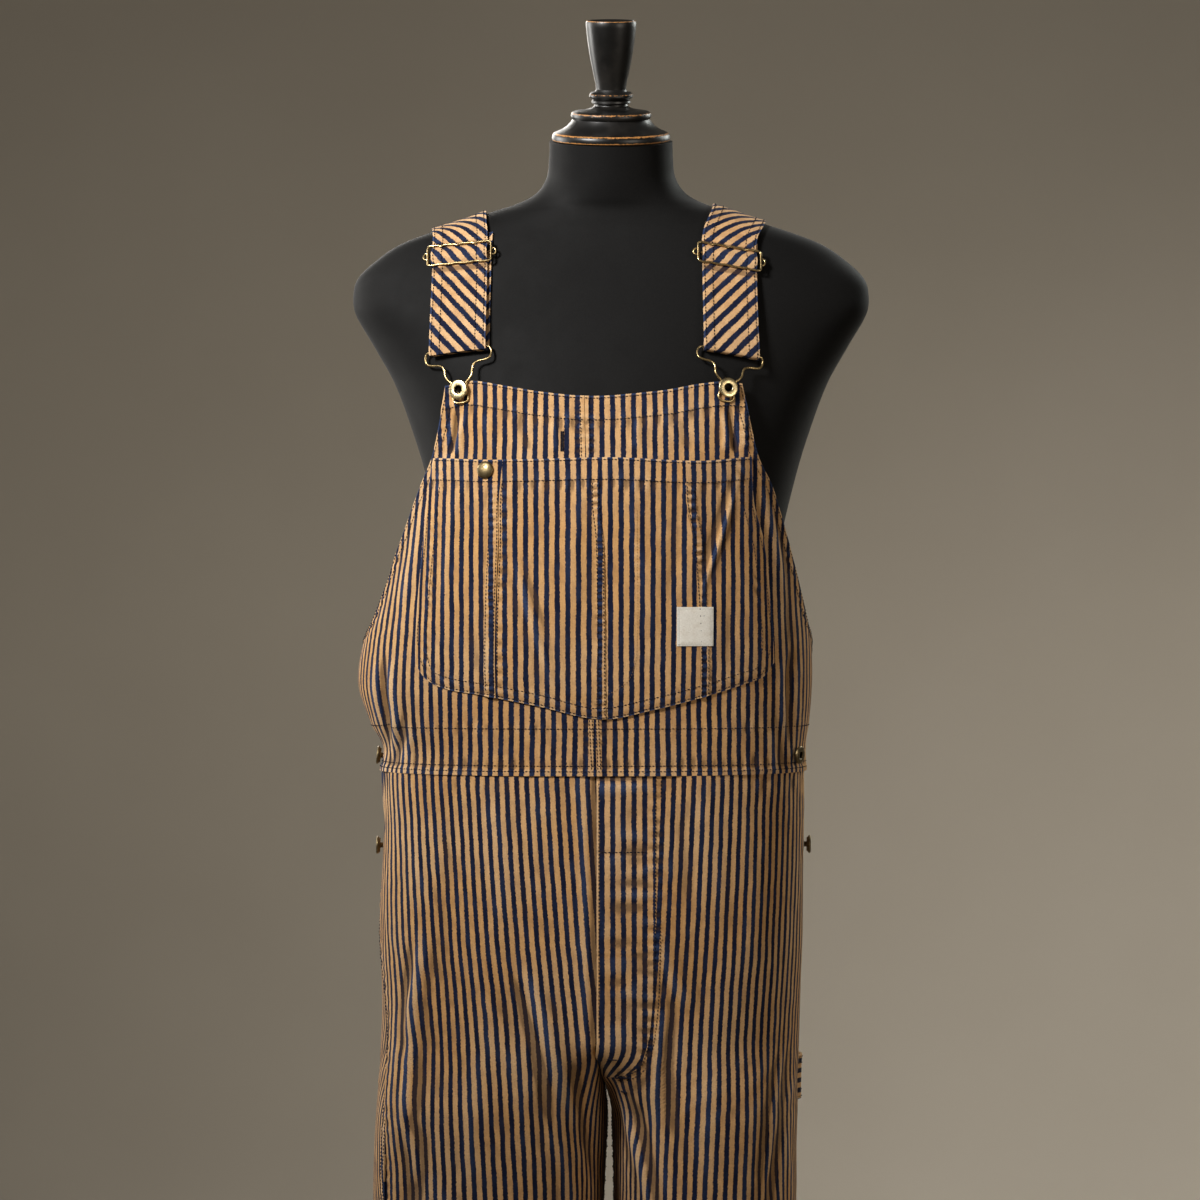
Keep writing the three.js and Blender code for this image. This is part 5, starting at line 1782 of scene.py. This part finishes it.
class Board:
    """Adds nodes to a tree and joins them in one call each."""

    def __init__(self, tree):
        self.tree = tree

    def link(self, source, node, label):
        self.tree.links.new(source, node.inputs[label])

    def set_or_link(self, node, label, value):
        if isinstance(value, bpy.types.NodeSocket):
            self.link(value, node, label)
        else:
            node.inputs[label].default_value = value

    def add(self, kind, inputs=None, **settings):
        node = self.tree.nodes.new(kind)
        for name, value in settings.items():
            setattr(node, name, value)
        for name, value in (inputs or {}).items():
            self.set_or_link(node, name, value)
        return node

    def place(self):
        return self.add("ShaderNodeTexCoord").outputs["Object"]

    def uv(self, name):
        return self.add("ShaderNodeUVMap", uv_map=name).outputs["UV"]

    def attribute(self, name):
        return self.add("ShaderNodeAttribute", attribute_name=name).outputs["Fac"]

    def math(self, operation, *values, clamp=False):
        inputs = dict(enumerate(values))
        return self.add("ShaderNodeMath", inputs, operation=operation, use_clamp=clamp).outputs[0]

    def plus(self, first, second):
        return self.math("ADD", first, second)

    def minus(self, first, second):
        return self.math("SUBTRACT", first, second)

    def times(self, first, second, clamp=False):
        return self.math("MULTIPLY", first, second, clamp=clamp)

    def band(self, value, low, high):
        """0 below low and 1 above high, with a soft step between them."""
        inputs = {"Value": value, "From Min": low, "From Max": high}
        node = self.add("ShaderNodeMapRange", inputs, interpolation_type="SMOOTHSTEP")
        return node.outputs["Result"]

    def noise(self, vector, scale, detail=2.0, roughness=0.5):
        inputs = {"Vector": vector, "Scale": scale, "Detail": detail, "Roughness": roughness}
        return self.add("ShaderNodeTexNoise", inputs).outputs["Fac"]

    def yarns(self, vector, across, along, detail=2.0, roughness=0.5):
        """Noise drawn out along threads, from its scales across and along them."""
        inputs = {0: vector, 1: (across, along, 1.0)}
        scaled = self.add("ShaderNodeVectorMath", inputs, operation="MULTIPLY").outputs[0]
        return self.noise(scaled, 1.0, detail, roughness)

    def mix(self, factor, first, second):
        node = self.add("ShaderNodeMix", data_type="RGBA")
        for index, value in ((0, factor), (6, first), (7, second)):
            self.set_or_link(node, index, value)
        return node.outputs[2]

    def tint(self, color, mask, strength, other):
        """The colour taken towards another by a strength, where the mask is 1."""
        return self.mix(self.times(mask, strength), color, other)


STRIPE_FUZZ = 0.0024  # metres that single yarns stray over a stripe's edge
STRIPE_DRIFT = 0.0014
TAN_SHADE = (0.36, 0.175, 0.062, 1)
TAN_GAP = (0.21, 0.105, 0.045, 1)
# painted shade colour for the troughs of the cloth's relief
CREASE_SHADE = (0.05, 0.028, 0.016, 1)


def weave_group():
    """Warp-striped twill: heathered yarns, soft stripe edges, faded crests and edges, painted shade
    in troughs.
    """
    group = new_group("striped_weave", [
        ("Map", "NodeSocketVector", None),
        ("Tan", "NodeSocketColor", (0.62, 0.345, 0.132, 1)),
        ("Navy", "NodeSocketColor", (0.0042, 0.0062, 0.021, 1)),
        ("Faded Navy", "NodeSocketColor", (0.034, 0.056, 0.13, 1)),
        ("Faded Tan", "NodeSocketColor", (0.80, 0.60, 0.38, 1)),
        ("Wear and Shade", "NodeSocketFloat", 0.0),
        ("Edge Distance", "NodeSocketFloat", 1.0),
    ], [("Color", "NodeSocketColor"), ("Height", "NodeSocketFloat"),
        ("Roughness", "NodeSocketFloat")])
    board = Board(group)
    given = board.add("NodeGroupInput").outputs
    weave, wear_and_shade = given["Map"], given["Wear and Shade"]
    faded_tan, faded_navy = given["Faded Tan"], given["Faded Navy"]

    fuzz = board.minus(board.yarns(weave, 1500.0, 500.0, 2.0, 0.6), 0.5)
    drift = board.minus(board.noise(weave, 55.0, 1.0), 0.5)
    shift = board.plus(board.times(fuzz, STRIPE_FUZZ), board.times(drift, STRIPE_DRIFT))
    across = board.add("ShaderNodeSeparateXYZ", {0: weave}).outputs["X"]
    stripes = board.math("DIVIDE", board.plus(across, shift), STRIPE * MM)
    beat = board.math("FRACT", board.plus(stripes, 0.5))
    from_middle = board.math("ABSOLUTE", board.minus(beat, 0.5))
    tan_part = board.band(from_middle, 0.222, 0.272)

    warp = board.yarns(weave, 1300.0, 130.0, 3.0, 0.65)
    weft = board.yarns(weave, 240.0, 1500.0, 3.0, 0.6)
    grain = board.noise(weave, 760.0, 3.0, 0.7)
    patch = board.noise(weave, 62.0, 3.0, 0.6)
    cloud = board.noise(weave, 9.0, 2.0, 0.5)
    heather = board.plus(board.times(warp, 0.42),
                         board.plus(board.times(weft, 0.34), board.times(grain, 0.24)))
    light = board.band(heather, 0.30, 0.70)

    tan = board.tint(given["Tan"], board.band(patch, 0.40, 0.66), 0.50, TAN_SHADE)
    tan = board.tint(tan, board.band(cloud, 0.35, 0.7), 0.30, faded_tan)
    tan = board.tint(tan, board.minus(1.0, light), 0.52, TAN_GAP)
    navy = board.tint(given["Navy"], board.band(patch, 0.40, 0.72), 0.15, faded_navy)
    navy = board.tint(navy, board.band(light, 0.55, 1.0), 0.28, faded_navy)

    edge = board.band(given["Edge Distance"], 0.0021, 0.0004)
    rubbed = board.times(board.math("MAXIMUM", edge, wear_and_shade), board.band(grain, 0.25, 0.62),
                         clamp=True)
    navy = board.tint(navy, rubbed, 0.8, faded_navy)
    tan = board.tint(tan, rubbed, 0.4, faded_tan)
    color = board.mix(tan_part, navy, tan)
    # painted shade: troughs of the cloth's relief are darkened
    color = board.tint(color, board.band(wear_and_shade, -0.05, -0.8), 0.55, CREASE_SHADE)

    twill = board.add("ShaderNodeTexWave", {
        "Vector": weave, "Scale": 190.0, "Distortion": 1.5, "Detail": 1.0,
    }, wave_type="BANDS", bands_direction="DIAGONAL").outputs["Fac"]
    height = board.plus(board.times(heather, 0.75), board.times(twill, 0.14))
    height = board.plus(height, board.times(patch, 0.5))
    rough = board.plus(0.78, board.times(light, 0.14))
    board.add("NodeGroupOutput", {"Color": color, "Height": height, "Roughness": rough})
    return group


def tarnish_group():
    """Tarnish on metal: a mask of dark patches and a fine height."""
    group = new_group("tarnish", [
        ("Place", "NodeSocketVector", None),
        ("Patch Scale", "NodeSocketFloat", 420.0),
        ("Amount", "NodeSocketFloat", 0.5),
    ], [("Mask", "NodeSocketFloat"), ("Height", "NodeSocketFloat")])
    board = Board(group)
    given = board.add("NodeGroupInput").outputs
    patch = board.noise(given["Place"], given["Patch Scale"], 4.0, 0.62)
    fine = board.noise(given["Place"], 2600.0, 2.0, 0.6)
    mask = board.times(board.band(patch, 0.40, 0.66), given["Amount"])
    height = board.plus(board.times(patch, 0.6), board.times(fine, 0.4))
    board.add("NodeGroupOutput", {"Mask": mask, "Height": height})
    return group


def new_material(name, **constants):
    """A material with one Principled BSDF; constants go on its own sockets."""
    material = bpy.data.materials.new(name)
    material.use_nodes = True
    board = Board(material.node_tree)
    shader = next(n for n in material.node_tree.nodes if n.type == "BSDF_PRINCIPLED")
    for label, value in constants.items():
        shader.inputs[label.replace("_", " ")].default_value = value
    materials[name] = material
    return board, shader


def join_bump(board, shader, height, strength, distance):
    node = board.add("ShaderNodeBump", {
        "Height": height, "Strength": strength, "Distance": distance * MM})
    board.link(node.outputs["Normal"], shader, "Normal")


def striped_material(name, weave, tan):
    board, shader = new_material(
        name, Sheen_Weight=0.03, Sheen_Roughness=0.5, Specular_IOR_Level=0.12)
    laid_in = board.math("GREATER_THAN", board.attribute("inlay"), 0.5)
    node = board.add("ShaderNodeGroup", node_tree=weave)
    node.inputs["Tan"].default_value = tan
    board.link(board.mix(laid_in, board.uv("weave_map"), board.uv("inlay_map")), node, "Map")
    board.link(board.attribute("wear_and_shade"), node, "Wear and Shade")
    board.link(board.attribute("edge_distance"), node, "Edge Distance")
    board.link(node.outputs["Color"], shader, "Base Color")
    board.link(node.outputs["Roughness"], shader, "Roughness")
    join_bump(board, shader, node.outputs["Height"], 0.55, 0.35)


def label_material():
    board, shader = new_material("woven_label", Sheen_Weight=0.1, Roughness=0.85)
    weave = board.uv("weave_map")
    threads = board.times(board.plus(board.yarns(weave, 3200.0, 420.0),
                                     board.yarns(weave, 420.0, 3200.0)), 0.5)
    color = board.mix(board.band(threads, 0.34, 0.6),
                      (0.60, 0.565, 0.49, 1), (0.76, 0.73, 0.66, 1))
    soil = board.band(board.noise(weave, 110.0, 3.0, 0.6), 0.45, 0.75)
    board.link(board.tint(color, soil, 0.35, (0.52, 0.44, 0.34, 1)), shader, "Base Color")
    join_bump(board, shader, threads, 0.5, 0.3)


def thread_material(name, colour):
    board, shader = new_material(name, Roughness=0.8, Specular_IOR_Level=0.15)
    twist = board.noise(board.place(), 1500.0)
    board.link(board.tint(colour, twist, 0.3, (0.018, 0.017, 0.020, 1)), shader, "Base Color")
    join_bump(board, shader, twist, 0.4, 0.1)


def brass_material(name, tarnish, bright, dark, amount, rough):
    board, shader = new_material(name, Metallic=1.0)
    node = board.add("ShaderNodeGroup", node_tree=tarnish)
    node.inputs["Amount"].default_value = amount
    board.link(board.place(), node, "Place")
    color = board.mix(node.outputs["Mask"], bright, dark)
    # painted shade: the inside of each button's hole is coloured near black
    color = board.mix(board.attribute("wear_and_shade"), color, (0.004, 0.003, 0.002, 1))
    board.link(color, shader, "Base Color")
    board.link(board.plus(rough, board.times(node.outputs["Mask"], 0.3)), shader, "Roughness")
    join_bump(board, shader, node.outputs["Height"], 0.25, 0.12)


def form_material():
    board, shader = new_material("form_cover", Sheen_Weight=0.05, Sheen_Roughness=0.4,
                                 Specular_IOR_Level=0.16)
    place = board.place()
    knit = board.noise(place, 1100.0, 3.0, 0.6)
    nap = board.noise(place, 34.0, 4.0, 0.6)
    color = board.mix(board.band(knit, 0.3, 0.7),
                      (0.0018, 0.0017, 0.0017, 1), (0.0046, 0.0044, 0.0042, 1))
    board.link(color, shader, "Base Color")
    board.link(board.plus(0.62, board.times(nap, 0.18)), shader, "Roughness")
    join_bump(board, shader, board.plus(knit, board.times(nap, 0.6)), 0.35, 0.25)


def painted_wood_material():
    """Black paint, chipped along the rims down to warm wood."""
    board, shader = new_material("painted_wood", Coat_Roughness=0.18)
    place = board.place()
    chips = board.times(board.noise(place, 520.0, 4.0, 0.7), 1.5)
    bare = board.band(board.plus(board.attribute("wear_and_shade"), chips), 1.40, 1.55)
    spots = board.noise(place, 60.0)
    paint = board.mix(board.band(spots, 0.4, 0.7),
                      (0.004, 0.0038, 0.0035, 1), (0.009, 0.008, 0.007, 1))
    board.link(board.mix(bare, paint, (0.42, 0.19, 0.055, 1)), shader, "Base Color")
    board.link(board.plus(0.26, board.times(spots, 0.2)), shader, "Roughness")
    brush = board.noise(board.add("ShaderNodeVectorMath", {0: place, 1: (30.0, 30.0, 1.0)},
                                  operation="MULTIPLY").outputs[0], 8.0, 3.0)
    join_bump(board, shader, board.minus(brush, board.times(bare, 0.8)), 0.3, 0.3)


def painted_steel_material():
    board, shader = new_material("painted_steel")
    peel = board.noise(board.place(), 520.0, 3.0, 0.6)
    board.link(board.mix(peel, (0.011, 0.011, 0.011, 1), (0.022, 0.021, 0.020, 1)),
               shader, "Base Color")
    board.link(board.plus(0.32, board.times(peel, 0.2)), shader, "Roughness")
    join_bump(board, shader, peel, 0.25, 0.15)


def paper_material():
    board, shader = new_material("studio_paper", Roughness=0.9)
    grain = board.noise(board.place(), 3.0, 3.0)
    board.link(board.mix(grain, (0.36, 0.325, 0.27, 1), (0.40, 0.365, 0.305, 1)),
               shader, "Base Color")
    # seen through from behind, so that the paper hides nothing from the back
    behind = board.add("ShaderNodeNewGeometry").outputs["Backfacing"]
    board.link(board.minus(1.0, behind), shader, "Alpha")


# name, bright, dark, how much of it is dark, roughness
BRASSES = [
    ("antique_brass", (0.62, 0.46, 0.22, 1), (0.16, 0.10, 0.04, 1), 0.55, 0.26),
    ("pale_brass", (0.78, 0.64, 0.36, 1), (0.42, 0.31, 0.13, 1), 0.5, 0.24),
    ("aged_brass", (0.24, 0.18, 0.09, 1), (0.08, 0.055, 0.03, 1), 0.7, 0.36),
]
THREADS = [
    ("dark_thread", (0.008, 0.010, 0.022, 1)),
    ("tan_thread", (0.30, 0.16, 0.06, 1)),
    ("pale_thread", (0.72, 0.70, 0.64, 1)),
]


def make_materials():
    weave, tarnish = weave_group(), tarnish_group()
    striped_material("striped_cotton", weave, (0.62, 0.345, 0.132, 1))
    striped_material("strap_cotton", weave, (0.66, 0.40, 0.19, 1))
    label_material()
    for name, colour in THREADS:
        thread_material(name, colour)
    for name, *finish in BRASSES:
        brass_material(name, tarnish, *finish)
    form_material()
    painted_wood_material()
    painted_steel_material()
    paper_material()


# ---------- camera, lights and floor ----------
CAMERA_DISTANCE = 3.2
CAMERA_X = -0.0099
CAMERA_Z = 1.2526
FIELD = 1.08  # metres seen from side to side, at the distance of the origin
SENSOR = 36


def make_camera():
    data = bpy.data.cameras.new("camera")
    data.sensor_width = SENSOR
    data.lens = SENSOR * CAMERA_DISTANCE / FIELD
    data.clip_end = 60
    camera = bpy.data.objects.new("camera", data)
    camera.location = (CAMERA_X, -CAMERA_DISTANCE, CAMERA_Z)
    camera.rotation_euler = (math.radians(90), 0, 0)
    bpy.context.scene.collection.objects.link(camera)
    bpy.context.scene.camera = camera


# name, place, target, size, power, colour, spread in degrees
LIGHTS = [
    ("key", (-1.75, -1.85, 2.85), (0, 0, 1.6), (0.6, 0.6), 8.4, (1, 0.985, 0.965), 42),
    ("fill", (2.2, -2.6, 1.6), (0, 0, 1.3), (1.4, 1.4), 10.4, (1, 0.9, 0.78), 120),
    ("back_window", (1.9, 1.9, 2.6), (0, 0, 1.5), (0.8, 1.2), 8, (0.96, 1, 0.95), 90),
    ("left_edge", (-2.3, 1.2, 1.9), (0, 0, 1.3), (0.6, 1.6), 12.5, (1, 0.98, 0.94), 90),
    ("behind", (-0.9, 2.5, 2.4), (0, 0, 0.9), (1.2, 1.2), 16, (1, 0.96, 0.9), 120),
    ("backdrop", (0.65, 0.7, 0.3), (0.35, 2.8, 0.9), (2.4, 0.5), 23, (1, 0.96, 0.9), 180),
]


def soft_light(name, place, target, size, power, colour, spread):
    data = bpy.data.lights.new(name, "AREA")
    data.shape = "RECTANGLE"
    data.size, data.size_y = size
    data.energy = power
    data.color = colour
    data.spread = math.radians(spread)
    light = bpy.data.objects.new(name, data)
    light.location = place
    light.rotation_euler = (Vector(target) - Vector(place)).to_track_quat("-Z", "Y").to_euler()
    bpy.context.scene.collection.objects.link(light)


def make_studio():
    for light in LIGHTS:
        soft_light(*light)
    world = bpy.data.worlds.new("studio")
    world.use_nodes = True
    background = world.node_tree.nodes["Background"]
    background.inputs["Color"].default_value = (1, 0.93, 0.85, 1)
    background.inputs["Strength"].default_value = 0.08
    bpy.context.scene.world = world
    bpy.context.scene.view_settings.view_transform = "Standard"

    # pale paper that lies on the floor and sweeps up behind
    sweep = [(-6.0, 0.0), (1.6, 0.0)]
    sweep += [(1.6 + 1.2 * math.sin(t), 1.2 - 1.2 * math.cos(t)) for t in
              np.linspace(0, math.pi / 2, 14)[1:]]
    sweep += [(2.8, 5.0)]
    points = np.array([[(x, y, z) for x in (-7.0, 7.0)] for y, z in sweep]) / MM
    mesh = grid_mesh("studio_floor", points)
    floor = add_object("studio_floor", mesh)
    mesh.materials.append(materials["studio_paper"])
    choose(floor)
    bpy.ops.object.shade_smooth()


make_camera()
make_materials()
make_form()
make_neck()
make_stand()
upper = make_upper()
pocket = make_pocket()
label = make_label()
legs = make_legs()
straps = make_straps()
loop = make_hammer_loop()
for strap in STRAPS:
    make_hook(strap)
    make_slider(strap)
make_buttons()
stitch_upper(upper)
stitch_pocket(pocket)
stitch_label(label)
stitch_legs(legs)
stitch_tacks(legs["front_left"], upper["bib_right"])
stitch_straps(straps)
stitch_loop(loop)
make_studio()
